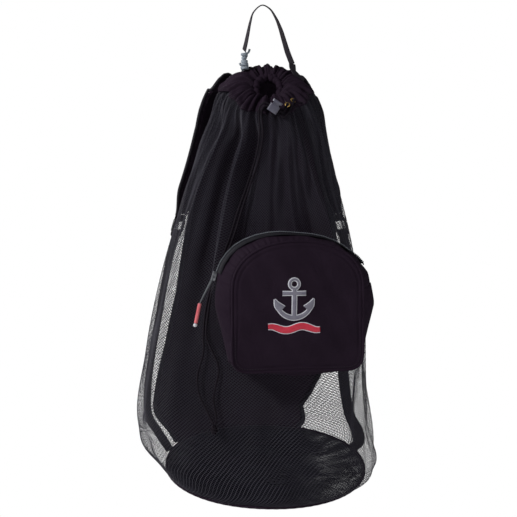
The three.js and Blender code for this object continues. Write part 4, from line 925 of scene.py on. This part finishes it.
def turned(name, profile, at, right, out, material, steps):
    """A round piece spun from its outline, given as distances from its axis and along it."""
    bpy.ops.mesh.primitive_circle_add(vertices=len(profile), fill_type="NOTHING")
    piece = bpy.context.object
    piece.name = piece.data.name = name
    for corner, (distance, height) in zip(piece.data.vertices, profile):
        corner.co = (distance, 0, height)
    bpy.ops.object.mode_set(mode="EDIT")
    bpy.ops.mesh.select_all(action="SELECT")
    bpy.ops.mesh.spin(steps=steps, angle=2 * math.pi, center=(0, 0, 0), axis=(0, 0, 1))
    bpy.ops.mesh.select_all(action="SELECT")
    bpy.ops.mesh.remove_doubles(threshold=2e-6)
    bpy.ops.mesh.dissolve_degenerate(threshold=1e-6)
    bpy.ops.mesh.normals_make_consistent(inside=False)
    bpy.ops.object.mode_set(mode="OBJECT")
    out, right = unit(np.array(out, float)), np.array(right, float)
    right = unit(right - out * np.dot(right, out))
    up = np.cross(out, right)
    facing = Matrix([[*row, 0] for row in np.stack([right, up, out], axis=1)] + [[0, 0, 0, 1]])
    piece.data.transform(Matrix.Translation(Vector(at)) @ facing)
    piece.data.materials.append(material)
    bpy.ops.object.shade_smooth_by_angle(angle=math.radians(40))
    return piece


EYELET_PROFILE = [
    (0.0025, -0.0022), (0.0025, 0.0029), (0.0028, 0.0035), (0.0033, 0.0037), (0.0041, 0.0037), (0.0046, 0.0034),
    (0.0048, 0.0029), (0.0046, 0.0024), (0.0038, 0.0022), (0.0036, 0.0018), (0.0036, -0.0022),
]
for n, (at, out, right) in enumerate(
    [
        ((0.0416, -0.0538, -0.1643), (0.161, -0.783, 0.601), (0.942, 0.304, 0.144)),
        ((0.0497, -0.0407, -0.1581), (0.583, -0.572, 0.577), (0.421, 0.820, 0.388)),
    ]
):
    joins(turned(f"eyelet_{n + 1}_ring", EYELET_PROFILE, at, right, out, brass, 40), "brass", f"eyelet_{n + 1}")

# Cord lock: a two-part plastic toggle. Its body holds the strands, and the button on top springs out and
# slides in its bore.
lock_plastic = finish(
    "lock_plastic", (0.042, 0.04, 0.058), (0.06, 0.058, 0.08), (0.32, 0.45), 0.45, uneven, 0.0006, 0.00003, patch=0.008
)


def rounded_copy(node, name, width, material):
    """A moulded piece: a copy of its node, merged into one skin, with rounded edges."""
    piece = bpy.data.objects.new(name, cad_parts[node].data.copy())
    piece.data.name = name
    scene.collection.objects.link(piece)
    only(piece)
    piece.data.materials.clear()
    piece.data.materials.append(material)
    bpy.ops.object.mode_set(mode="EDIT")
    bpy.ops.mesh.select_all(action="SELECT")
    bpy.ops.mesh.remove_doubles(threshold=1e-5)
    bpy.ops.mesh.dissolve_limited(angle_limit=math.radians(2))
    bpy.ops.object.mode_set(mode="OBJECT")
    modified(piece, "BEVEL", width=width, segments=3, limit_method="ANGLE", angle_limit=math.radians(28))
    bpy.ops.object.shade_smooth_by_angle(angle=math.radians(35))
    return piece


joins(rounded_copy("cord_lock_body", "cord_lock_shell", 0.0007, lock_plastic), "lock_plastic", "cord_lock_body")
button = rounded_copy("cord_lock_button", "cord_lock_plunger", 0.0007, lock_plastic)
joins(button, "lock_plastic", "cord_lock_button", body="lock_button")

# Shoulder straps: padded, tapered bands of nylon sewn in below the collar, with a stitched, bound edge.
# Each ends in a fold of webbing round a plastic ring, and a webbing runs on from there to the base.
buckle_plastic = finish(
    "buckle_plastic",
    (0.008, 0.008, 0.009),
    (0.014, 0.014, 0.016),
    (0.3, 0.45),
    0.4,
    uneven,
    0.0007,
    0.00004,
    patch=0.01,
)
# The routes give degrees from the middle of the back, a level, and how far off the sack as a share of its depth.
STRAP_ROUTE = {
    "left": (
        (25, 3.5, 0.012), (33, 3.25, 0.075), (44, 3.15, 0.115), (54, 3.45, 0.115), (57, 4, 0.095), (57, 4.6, 0.07),
        (56, 5.2, 0.055), (55.5, 5.8, 0.055), (57, 6.35, 0.063), (57.5, 6.7, 0.065),
    ),
    "right": (
        (25, 3.5, 0.012), (32, 3.3, 0.055), (40, 3.25, 0.075), (45, 3.6, 0.06), (46, 4.1, 0.05), (46, 4.6, 0.045),
        (47, 5.2, 0.045), (49, 5.8, 0.05), (52, 6.35, 0.057), (54, 6.7, 0.06),
    ),
}
WEBBING_ROUTE = {
    "left": (
        (59, 7.15, 0.075), (61, 7.45, 0.06), (62, 8, 0.04), (61, 8.5, 0.035), (61, 9.2, 0.035), (62, 10, 0.035),
        (65, 11, 0.03), (69, 11.7, 0.015), (72, 12.3, 0.0025), (73, 12.9, 0.0025),
    ),
    "right": (
        (57, 7.15, 0.075), (55, 7.45, 0.06), (52, 8, 0.04), (50, 8.5, 0.035), (48, 9.2, 0.035), (48, 10, 0.035),
        (50, 11, 0.03), (55, 11.7, 0.015), (60, 12.3, 0.0025), (61, 12.9, 0.0025),
    ),
}
STRAP_WIDE, STRAP_THICK, WEBBING_WIDE, WEBBING_THICK = 0.058, 0.008, 0.025, 0.0018
RING_TALL, RING_BAR, FOLD_THICK, SEAT = 0.024, 0.004, 0.007, 0.0012


def inflated(piece, path, out, cap):
    """A pad filled with wadding: remeshed and blown up as cloth with no weight. Its sewn edges hold its
    width, so its points move only out of its plane, and none too far."""
    modified(piece, "REMESH", mode="VOXEL", voxel_size=0.0035, use_smooth_shade=True)
    mesh = piece.data
    before = np.empty(3 * len(mesh.vertices))
    mesh.vertices.foreach_get("co", before)
    blown = piece.modifiers.new("blown", "CLOTH")
    blown.settings.quality = 6
    blown.settings.mass = 0.15
    blown.settings.use_pressure = True
    blown.settings.uniform_pressure_force = 4
    blown.settings.tension_stiffness = 20
    blown.settings.bending_stiffness = 0.6
    blown.settings.effector_weights.gravity = 0
    blown.collision_settings.use_collision = False
    for step in range(1, 21):
        scene.frame_set(step)
    bpy.ops.object.modifier_apply(modifier="blown")
    scene.frame_set(1)
    after = np.empty(3 * len(piece.data.vertices))
    piece.data.vertices.foreach_get("co", after)
    before, after = before.reshape(-1, 3), after.reshape(-1, 3)
    nearest = np.array([int(np.argmin(np.sum((path - point) ** 2, axis=1))) for point in before])
    way = out[nearest]
    move = np.sum((after - before) * way, axis=1, keepdims=True)
    piece.data.vertices.foreach_set("co", (before + way * np.clip(move, -cap, cap)).ravel())
    modified(piece, "SMOOTH", factor=0.5, iterations=3)
    modified(piece, "SUBSURF", levels=1, render_levels=1)
    piece.data.shade_smooth()
    return piece


def on_skin(piece, points, out, lift):
    """Places on a piece's surface, reached from outside, and how they stand off it."""
    tree = BVHTree.FromObject(piece, bpy.context.evaluated_depsgraph_get())
    found = []
    for point, way in zip(points, out):
        hit = tree.ray_cast(Vector(point + way * 0.012), Vector(-way), 0.02)[0]
        found.append(np.array(hit) + way * lift if hit else point + way * 0.003)
    return np.array(found)


for side, sign in (("left", 1), ("right", -1)):
    angles, levels, lifts = np.array(STRAP_ROUTE[side]).T
    points, _, _, outs = place_on(sign * (angles - 180), levels, HALF_DEPTH * lifts + SEAT + STRAP_THICK / 2)
    path, out = evenly(points * 1000, outs, 0.0025)
    across = unit(np.cross(out, ways_along(path)))
    t = np.linspace(0, 1, len(path))
    width = STRAP_WIDE + (WEBBING_WIDE + 0.006 - STRAP_WIDE) * smoothstep(t, 0.82, 1)
    width = width * (0.45 + 0.55 * smoothstep(t, 0, 0.35))
    thick = (STRAP_THICK - 0.001 * smoothstep(t, 0.85, 1)) * (0.7 + 0.3 * smoothstep(t, 0, 0.12))
    pad = tape(f"strap_{side}_pad", path, across, width * 0.95, thick * 0.72, nylon, cells=10)
    pad = joins(inflated(pad, path, out, 0.0022), "nylon", f"strap_{side}")
    for label, edge in (("a", -1), ("b", 1)):
        rim = path + across * (edge * (width / 2 - 0.001))[:, None]
        bound = tube(f"strap_{side}_binding_{label}", rim, np.maximum(thick * 0.33, 0.0016), 12, binding)
        joins(bound, "webbing", f"strap_{side}")
        inset = path + across * (edge * (width / 2 - 0.0065))[:, None]
        for face, way in (("outer", out), ("inner", -out)):
            stitches(f"strap_{side}_{face}_stitches_{label}", on_skin(pad, inset, unit(way), 0.0002), way)

    angles, levels, lifts = np.array(WEBBING_ROUTE[side]).T
    webs, web_ways, _, _ = place_on(sign * (angles - 180), levels, HALF_DEPTH * lifts + SEAT + WEBBING_THICK / 2)
    strap_end = points[-1]
    down = unit(webs[0] - strap_end)
    ring_at = strap_end + down * (FOLD_THICK + RING_TALL / 2)
    ring_right = unit(np.cross(-down, outs[-1]))
    ring_out = np.cross(ring_right, -down)
    ring = rounded_copy(f"buckle_{side}", f"buckle_{side}_ring", 0.0009, buckle_plastic)
    joins(ring, "buckle_plastic", f"buckle_{side}")
    bar = (RING_TALL - RING_BAR) / 2
    r, straight = (FOLD_THICK - WEBBING_THICK) / 2, (RING_BAR + WEBBING_THICK) / 2
    arc = [(r * math.cos(q), straight + r * math.sin(q)) for q in np.linspace(0, math.pi, 9)]
    arc += [(-x, -y) for x, y in arc]
    for name, end in (("strap", 1), ("webbing", -1)):
        middle = ring_at - down * end * (bar + FOLD_THICK / 2)
        fold = smooth_path([middle + ring_out * x - down * y for x, y in arc], 0.0012, closed=True)
        ways = np.tile(ring_right, (len(fold), 1))
        fold = tape(f"{name}_{side}_fold", fold, ways, WEBBING_WIDE, WEBBING_THICK, webbing, closed=True)
        joins(fold, "webbing", f"{name}_{side}")
    start = ring_at + down * (bar + FOLD_THICK + WEBBING_THICK - 0.002)
    path, across = evenly(np.array([start, *webs[1:]]) * 1000, np.array([ring_right, *web_ways[1:]]), 0.003)
    strip = tape(f"webbing_{side}_strip", path, across, WEBBING_WIDE, WEBBING_THICK, webbing)
    joins(strip, "webbing", f"webbing_{side}")
    inwards = unit(np.cross(ways_along(path), across))[-9:]
    for row, shift in (("a", -0.009), ("b", 0.009)):
        stitches(f"webbing_{side}_stitches_{row}", path[-9:] + across[-9:] * shift + inwards * 0.0009, inwards)

# Pocket: a nylon bag with an arched front. The front is lightly domed and piped all round, and the
# gusset bulges between it and the seam on the net. A turned and stitched margin follows the piping.
# OUTLINE runs round the front in its own plane, FEET along the seam on the net, and BULGE gives how far the
# gusset swells by the angle round the pocket.
POCKET_AT, POCKET_TURN, POCKET_STAND = np.array((0.052, -0.1365, -0.482)), math.radians(9), 0.040
POCKET_RIGHT = np.array((math.cos(POCKET_TURN), math.sin(POCKET_TURN), 0))
POCKET_OUT = np.array((math.sin(POCKET_TURN), -math.cos(POCKET_TURN), 0))
POCKET_HALF_WIDE, POCKET_HALF_TALL = 0.107, 0.1055
OUTLINE = np.array(
    [
        (107, 27.5), (105.6, 44), (101.2, 57.6), (94.2, 69.6), (84.4, 80.2), (72.2, 89), (57.8, 96.1), (41.2, 101.3),
        (22.6, 104.4), (0, 105.5), (-22.6, 104.4), (-41.2, 101.3), (-57.8, 96.1), (-72.2, 89), (-84.4, 80.2),
        (-94.2, 69.6), (-101.2, 57.6), (-105.6, 44), (-107, 27.5), (-107, -21.4), (-107, -83.5), (-104.1, -94.5),
        (-96, -102.6), (-85, -105.5), (-35.7, -105.5), (35.7, -105.5), (85, -105.5), (96, -102.6), (104.1, -94.5),
        (107, -83.5), (107, -21.4),
    ]
) * 0.001
FEET = np.array(
    [
        (147.3, -113.3, -454.7), (146.1, -108.4, -440.1), (142.5, -106.5, -428.9), (136.8, -106.8, -418.9),
        (128.7, -108.3, -410.1), (118.2, -110.4, -402.4), (105.5, -113.1, -396.1), (90.7, -115.9, -391.4),
        (73.7, -119.4, -388.5), (52.5, -123.9, -387.5), (31.3, -127.4, -388.5), (14.2, -129.2, -391.4),
        (-0.6, -130.3, -396.1), (-13.3, -131.2, -402.4), (-23.7, -131.8, -410.1), (-31.8, -132.2, -418.9),
        (-37.6, -133.2, -428.9), (-41.1, -134.7, -440.1), (-42.4, -137, -454.7), (-42.3, -143.7, -503.4),
        (-42.4, -150.2, -565.1), (-40.9, -150.9, -571), (-36.9, -151.4, -575), (-31, -151.7, -576.5),
        (17.2, -151.5, -576.5), (87.7, -142.6, -576.5), (135.9, -130, -576.5), (141.9, -127.2, -575),
        (145.8, -125.2, -571), (147.3, -124.6, -565.1), (147.3, -123.9, -503.4), (147.3, -113.3, -454.7),
    ]
) * 0.001
BULGE = ((0, 45, 90, 135, 180, 225, 270, 315, 360), (0.25, 0.08, 0.12, 0.24, 0.3, 0.06, 0.15, 0.06, 0.25))
AROUND = len(OUTLINE)


def pocket_place(x, y, depth):
    """A place in space from one in the pocket's plane and how far it stands out."""
    x, y, depth = [value[..., None] for value in np.broadcast_arrays(x, y, depth)]
    return POCKET_AT + POCKET_RIGHT * x + POCKET_OUT * depth + np.array((0, 0, 1)) * y


ROUND = smooth_path(np.concatenate([OUTLINE, np.zeros((AROUND, 1))], axis=1), 0.0024, closed=True)[:, :2]
EDGE_WAY = ways_along(ROUND, closed=True)
INWARD = np.stack([-EDGE_WAY[:, 1], EDGE_WAY[:, 0]], axis=1)


def front_depth(x, y):
    """How far the front stands out over a place in the pocket's plane, with its soft dents."""
    square = np.clip(np.maximum(np.abs(x) / POCKET_HALF_WIDE, np.abs(y) / POCKET_HALF_TALL), 0, 1)
    reach = np.clip(np.sqrt((x / 0.118) ** 2 + (y / 0.116) ** 2), 0, 1) * 0.6 + square * 0.4
    dents = 0.0011 * np.sin(x * 61 + y * 23 + 1) + 0.0009 * np.sin(y * 74 - x * 31)
    dents = dents + 0.0006 * np.sin(x * 140 + y * 90)
    dents = dents - 0.0024 * bell(x + 0.07, 0.03) * bell(y + 0.07, 0.03)
    dents = dents - 0.0018 * bell(x - 0.075, 0.028) * bell(y - 0.03, 0.05)
    return POCKET_STAND + 0.009 * (1 - reach**2) + dents * (1 - reach**6)


def front_place(u, v):
    """A place on the pocket's front: u goes round it and v from its rim to its middle."""
    i = np.floor(u * len(ROUND)).astype(int) % len(ROUND)
    rim = (ROUND + INWARD * 0.0008)[i]
    at = (1 - v)[:, None] * rim
    from_edge = np.linalg.norm(rim - at, axis=1)
    groove = -0.0012 * bell(from_edge - 0.0083, 0.0012) + 0.0005 * bell(from_edge - 0.0053, 0.0016)
    edge = (1 - v) ** 40
    return pocket_place(*at.T, front_depth(*at.T) * (1 - edge) + POCKET_STAND * edge + groove)


def planar_uv(piece):
    """The weave of the pocket's front lies square in its own plane."""
    layer = piece.data.uv_layers["along"].data
    for loop in piece.data.loops:
        at = piece.data.vertices[loop.vertex_index].co
        layer[loop.index].uv = (at.x, at.z)


front = shaped("pocket_front_cloth", len(ROUND), 56, front_place, nylon, 0.0016, size=(1, 1), joined=True)
planar_uv(front)
joins(front, "nylon", "pocket_front")
margin = (ROUND + INWARD * 0.0052).T
depth = front_depth(*margin) * 0.2 + POCKET_STAND * 0.8 + 0.0013
stitches("pocket_front_stitches", pocket_place(*margin, depth), np.tile(POCKET_OUT, (len(ROUND), 1)))
radius = 0.0022 * (1 + 0.04 * np.sin(np.arange(len(ROUND)) * 1.3))
piping = tube("pocket_piping_cord", pocket_place(*ROUND.T, POCKET_STAND), radius, 14, nylon, closed=True)
joins(piping, "nylon", "pocket_piping")


def gusset_place(u, v):
    """The gusset: u is a place on the outline and v goes from its foot on the net to the front's seam."""
    u = np.asarray(u, float) % AROUND
    i = np.floor(u).astype(int)
    share = (u - i)[..., None]
    foot = FEET[i] + (FEET[i + 1] - FEET[i]) * share
    xy = OUTLINE[i] + (OUTLINE[(i + 1) % AROUND] - OUTLINE[i]) * share
    x, y = xy[..., 0], xy[..., 1]
    bulge = np.interp(np.degrees(np.arctan2(y, x)) % 360, *BULGE) * POCKET_HALF_WIDE / np.linalg.norm(xy, axis=-1)
    swell = pocket_place(x * bulge, y * bulge, 0.0) - POCKET_AT
    v = np.asarray(v, float)[..., None]
    return foot + (
        pocket_place(x, y, POCKET_STAND - 0.0014) - foot
    ) * v + swell * np.sin(np.pi * np.maximum(v, 0) ** 0.9)


def gusset_cloth(u, v):
    """The gusset with the puckers of its seams and its slack between them."""
    n, arch = (1 - u) * AROUND, np.sin(np.pi * v)
    puckers = (0.0006 * np.cos(n * 11) + 0.0005 * np.cos(n * 17 + 1)) * (1 - arch)
    puckers = puckers + 0.0012 * np.sin(n * 2.3 + 5 * v) * arch
    out = -outwards(gusset_place, n, v, 0.01)
    return gusset_place(n, v) + out * (puckers * (1 - bell(v, 0.06)))[:, None]


gusset = joins(
    shaped("pocket_gusset_cloth", 310, 16, gusset_cloth, nylon, 0.0016, size=(0.66, 0.06), joined=True),
    "nylon",
    "pocket_gusset",
)

# Zip: a coil zip over the pocket's left shoulder, its tape sewn on the gusset, with two rows of teeth, a
# metal slider at its left end and a cord pull with a red tube grip.
zip_tape_finish = finish(
    "zip_tape", (0.0065, 0.006, 0.0085), (0.0105, 0.0105, 0.0135), (0.65, 0.8), 0.1, ribbed, 0.0012, 0.00015, patch=0.02
)
teeth_finish = finish(
    "zip_teeth", (0.085, 0.095, 0.11), (0.13, 0.14, 0.16), (0.35, 0.45), 0.4, uneven, 0.001, 0.00002, patch=0.01
)
steel = finish(
    "steel", (0.16, 0.165, 0.18), (0.1, 0.1, 0.11), (0.3, 0.45), 0.5, uneven, 0.001, 0.00003, patch=0.004, metal=0.8
)
ZIP_FROM, ZIP_TO, ZIP_WIDE = 2, 17, 0.0236
TOOTH_PITCH, TOOTH_LONG = 0.0015, 0.0036


def zip_frame(u, side, lift):
    """A place over the gusset's middle, a length to its side, and the ways along, across and out there."""
    u = np.asarray(u, float)
    width = np.linalg.norm(gusset_place(u, np.ones_like(u)) - gusset_place(u, np.zeros_like(u)), axis=-1)
    lane = 0.5 + side / width
    along = unit(gusset_place(u - 0.01, lane) - gusset_place(u + 0.01, lane))
    across = unit(gusset_place(u, lane + 0.01) - gusset_place(u, lane - 0.01))
    out = unit(np.cross(across, along))
    return gusset_place(u, lane) + out * lift, along, across, out


def tape_place(u, v):
    """A place on the zip's tape: u goes along it and v across it."""
    return zip_frame(ZIP_FROM + (ZIP_TO - ZIP_FROM) * (1 - u), (v - 0.5) * ZIP_WIDE, 0.00275)[0]


joins(
    shaped("zip_tape_cloth", 240, 8, tape_place, zip_tape_finish, 0.001, size=(0.25, ZIP_WIDE)), "webbing", "zip_tape"
)
line, along, across, out = zip_frame(np.linspace(ZIP_FROM + 0.02, ZIP_TO - 0.02, 4000), 0.0, 0.0043)
run = distances(line)
count = int(run[-1] / TOOTH_PITCH)
turns = np.arange(6)[:, None] * math.pi / 3
rings = []
for n in range(count):
    k = int(np.interp((n + 0.5) * run[-1] / count, run, np.arange(4000)))
    centre = line[k] + across[k] * (0.0011 if n % 2 else -0.0011)
    turned_by = along[k] * np.cos(turns) * 0.00068 + out[k] * np.sin(turns) * 0.0008
    for t, r in ((-0.5, 0.45), (-0.38, 1), (0.38, 1), (0.5, 0.45)):
        rings.append(centre + across[k] * t * TOOTH_LONG + turned_by * r)
chain = rods("zip_teeth_rows", rings, 6, teeth_finish)
joins(chain, "zip_teeth", "zip_chain")
for row, shift in (("a", -0.0092), ("b", 0.0092)):
    at, along, across, out = zip_frame(np.linspace(ZIP_FROM + 0.1, ZIP_TO - 0.1, 500), shift, 0.0035)
    stitches(f"zip_stitches_{row}", at, out)
joins(rounded_copy("zip_slider", "zip_slider_body", 0.0008, steel), "steel", "zip_slider")

PULL_TOP, PULL_END = np.array((-0.0783, -0.1672, -0.4337)), np.array((-0.1003, -0.1712, -0.4777))
GRIP_DOWN, GRIP_SIDE = np.array((-0.2079, 0, -0.9781)), np.array((0.0951, -0.9935, 0.0629))
HALF_LOOP = (
    (0, 0, 0), (0.52, 0, 0), (0.78, 0.05, 0), (0.7, 0.2, 0), (0.4, 0.5, 0), (0.14, 0.86, 0), (0.1, 1, 0.2), (0, 1, 0.7),
)
loop = [*HALF_LOOP, *((-w, d, i) for w, d, i in HALF_LOOP[-2:0:-1])]
loop = [PULL_TOP + (PULL_END - PULL_TOP) * d + GRIP_DOWN * i * 0.006 + GRIP_SIDE * w * 0.010 for w, d, i in loop]
pull_grey = finish("pull_cord", (0.035, 0.037, 0.042), (0.06, 0.064, 0.07), (0.6, 0.75), 0.2, ribbed, 0.0009, 0.0001)
pull = cord("pull_cord_braid", smooth_path(loop, 0.0009, closed=True), 0.0011, pull_grey, 6, 1300, 0.1, closed=True)
joins(pull, "cord", "pull_cord")
red = finish("red_grip", (0.34, 0.05, 0.06), (0.45, 0.1, 0.11), (0.28, 0.4), 0.5, uneven, 0.002, 0.00003, patch=0.01)
pale = finish("pale_bead", (0.3, 0.3, 0.32), (0.38, 0.38, 0.4), (0.35, 0.5), 0.4, uneven, 0.002, 0.00003, patch=0.004)
grip_up = np.array((0, -1.0, 0))
grip_right = np.cross(grip_up, GRIP_DOWN)
GRIP_PROFILE = [(0.0023, 0.0066), (0.0023, 0.0004), (0.0025, 0), (0.0028, 0.0003), (0.00295, 0.0012)]
GRIP_PROFILE += [(0.00295 - 0.00018 * (n % 2), 0.003 + n * 0.0019) for n in range(15)]
GRIP_PROFILE += [(0.0029, 0.0318), (0.0027, 0.0327), (0.0023, 0.033), (0, 0.033), (0, 0.0066)]
joins(turned("pull_grip_tube", GRIP_PROFILE, PULL_END, grip_right, GRIP_DOWN, red, 28), "red_plastic", "pull_grip")
bead = [(0.0034 * math.sin(q), 0.0363 - 0.0032 * math.cos(q)) for q in np.linspace(0.35, math.pi - 0.25, 10)]
bead = [(0, 0.0333), *bead, (0, 0.0394)]
joins(turned("pull_bead_ball", bead, PULL_END, grip_right, GRIP_DOWN, pale, 24), "grey_cord", "pull_bead")

# Embroidery: a plain anchor over a wavy band on the pocket's front, in satin stitch, each shape in grey or
# red thread on a white edge.
EMBLEM = (-0.008, 0.011)
grey_thread = finish(
    "grey_thread", (0.1, 0.095, 0.125), (0.14, 0.135, 0.165), (0.4, 0.55), 0.35, ribbed, 0.0007, 0.00015, patch=0.01
)
red_thread = finish(
    "red_thread", (0.32, 0.006, 0.022), (0.42, 0.012, 0.035), (0.4, 0.55), 0.35, ribbed, 0.0007, 0.00015, patch=0.01
)
white_thread = finish(
    "white_thread", (0.36, 0.36, 0.39), (0.46, 0.46, 0.49), (0.45, 0.6), 0.3, ribbed, 0.0007, 0.00012, patch=0.01
)


def satin(name, line, width, raised, material):
    """A run of satin stitch on the pocket's front along a line in its plane, in millimetres."""
    line = np.array(line, float) * 0.001 + np.array(EMBLEM)
    path = smooth_path(np.pad(line, ((0, 0), (0, 1))), 0.0008)[:, :2]
    t = np.linspace(0, 1, len(path))
    width = np.interp(t, np.linspace(0, 1, len(width)), width) * 0.001
    way = ways_along(path)
    side = np.stack([way[:, 1], -way[:, 0]], axis=1)
    s = np.linspace(-1, 1, 7)
    plane = path[:, None] + side[:, None] * s[None, :, None] * width[:, None, None] / 2
    x, y = plane[..., 0], plane[..., 1]
    depth = front_depth(x, y) + 0.0007
    upper, lower = pocket_place(x, y, depth + raised * (1 - s[None, :] ** 4)), pocket_place(x, y, depth - 0.0003)
    n, m = len(path), len(s)
    points = np.concatenate([upper.reshape(-1, 3), lower.reshape(-1, 3)])
    k, last = n * m, (n - 1) * m
    faces = []
    for i in range(0, last, m):
        faces += [(i + j, i + j + 1, i + m + j + 1, i + m + j) for j in range(m - 1)]
    faces += [tuple(k + q for q in reversed(f)) for f in faces]
    for i in range(0, last, m):
        faces += [(i, i + m, k + i + m, k + i), (k + i + m - 1, k + i + 2 * m - 1, i + 2 * m - 1, i + m - 1)]
    for j in range(m - 1):
        faces += [(k + j, k + j + 1, j + 1, j), (last + j, last + j + 1, k + last + j + 1, k + last + j)]
    flat = np.stack(np.broadcast_arrays(s[None, :] * 0.003, distances(path)[:, None]), axis=-1).reshape(-1, 2)
    flat = np.concatenate([flat, flat])
    return joins(faces_out(new_mesh(name, points, faces, material, [flat[i] for f in faces for i in f])), "nylon")


ring_line = [(7.5 * math.cos(q), 27 + 7.5 * math.sin(q)) for q in np.linspace(-math.pi / 2, 1.5 * math.pi, 21)]
arms_line = [(30 * math.sin(q), 4 - 32 * math.cos(q)) for q in np.linspace(-1.12, 1.12, 15)]
SHAPES = [
    ("anchor_ring", ring_line, (4, 4), grey_thread),
    ("anchor_shank", ((0, 19), (0, 0), (0, -28)), (7, 7), grey_thread),
    ("anchor_stock", ((-19, 12), (0, 12), (19, 12)), (6.5, 6, 6.5), grey_thread),
    ("anchor_arms", arms_line, (5, 7, 8, 7, 5), grey_thread),
    ("anchor_left_fluke", ((-20, -14), (-27, -7), (-32, 3)), (15, 11, 1), grey_thread),
    ("anchor_right_fluke", ((20, -14), (27, -7), (32, 3)), (15, 11, 1), grey_thread),
    ("wavy_band", [(x, -45 + 3.2 * math.sin(x / 8.2)) for x in range(-42, 43, 6)], (9, 12, 12, 12, 9), red_thread),
]
for name, line, width, material in SHAPES:
    satin(f"{name}_edge", line, [w + 2.8 for w in width], 0.0004, white_thread)
    satin(name, line, width, 0.0011, material)
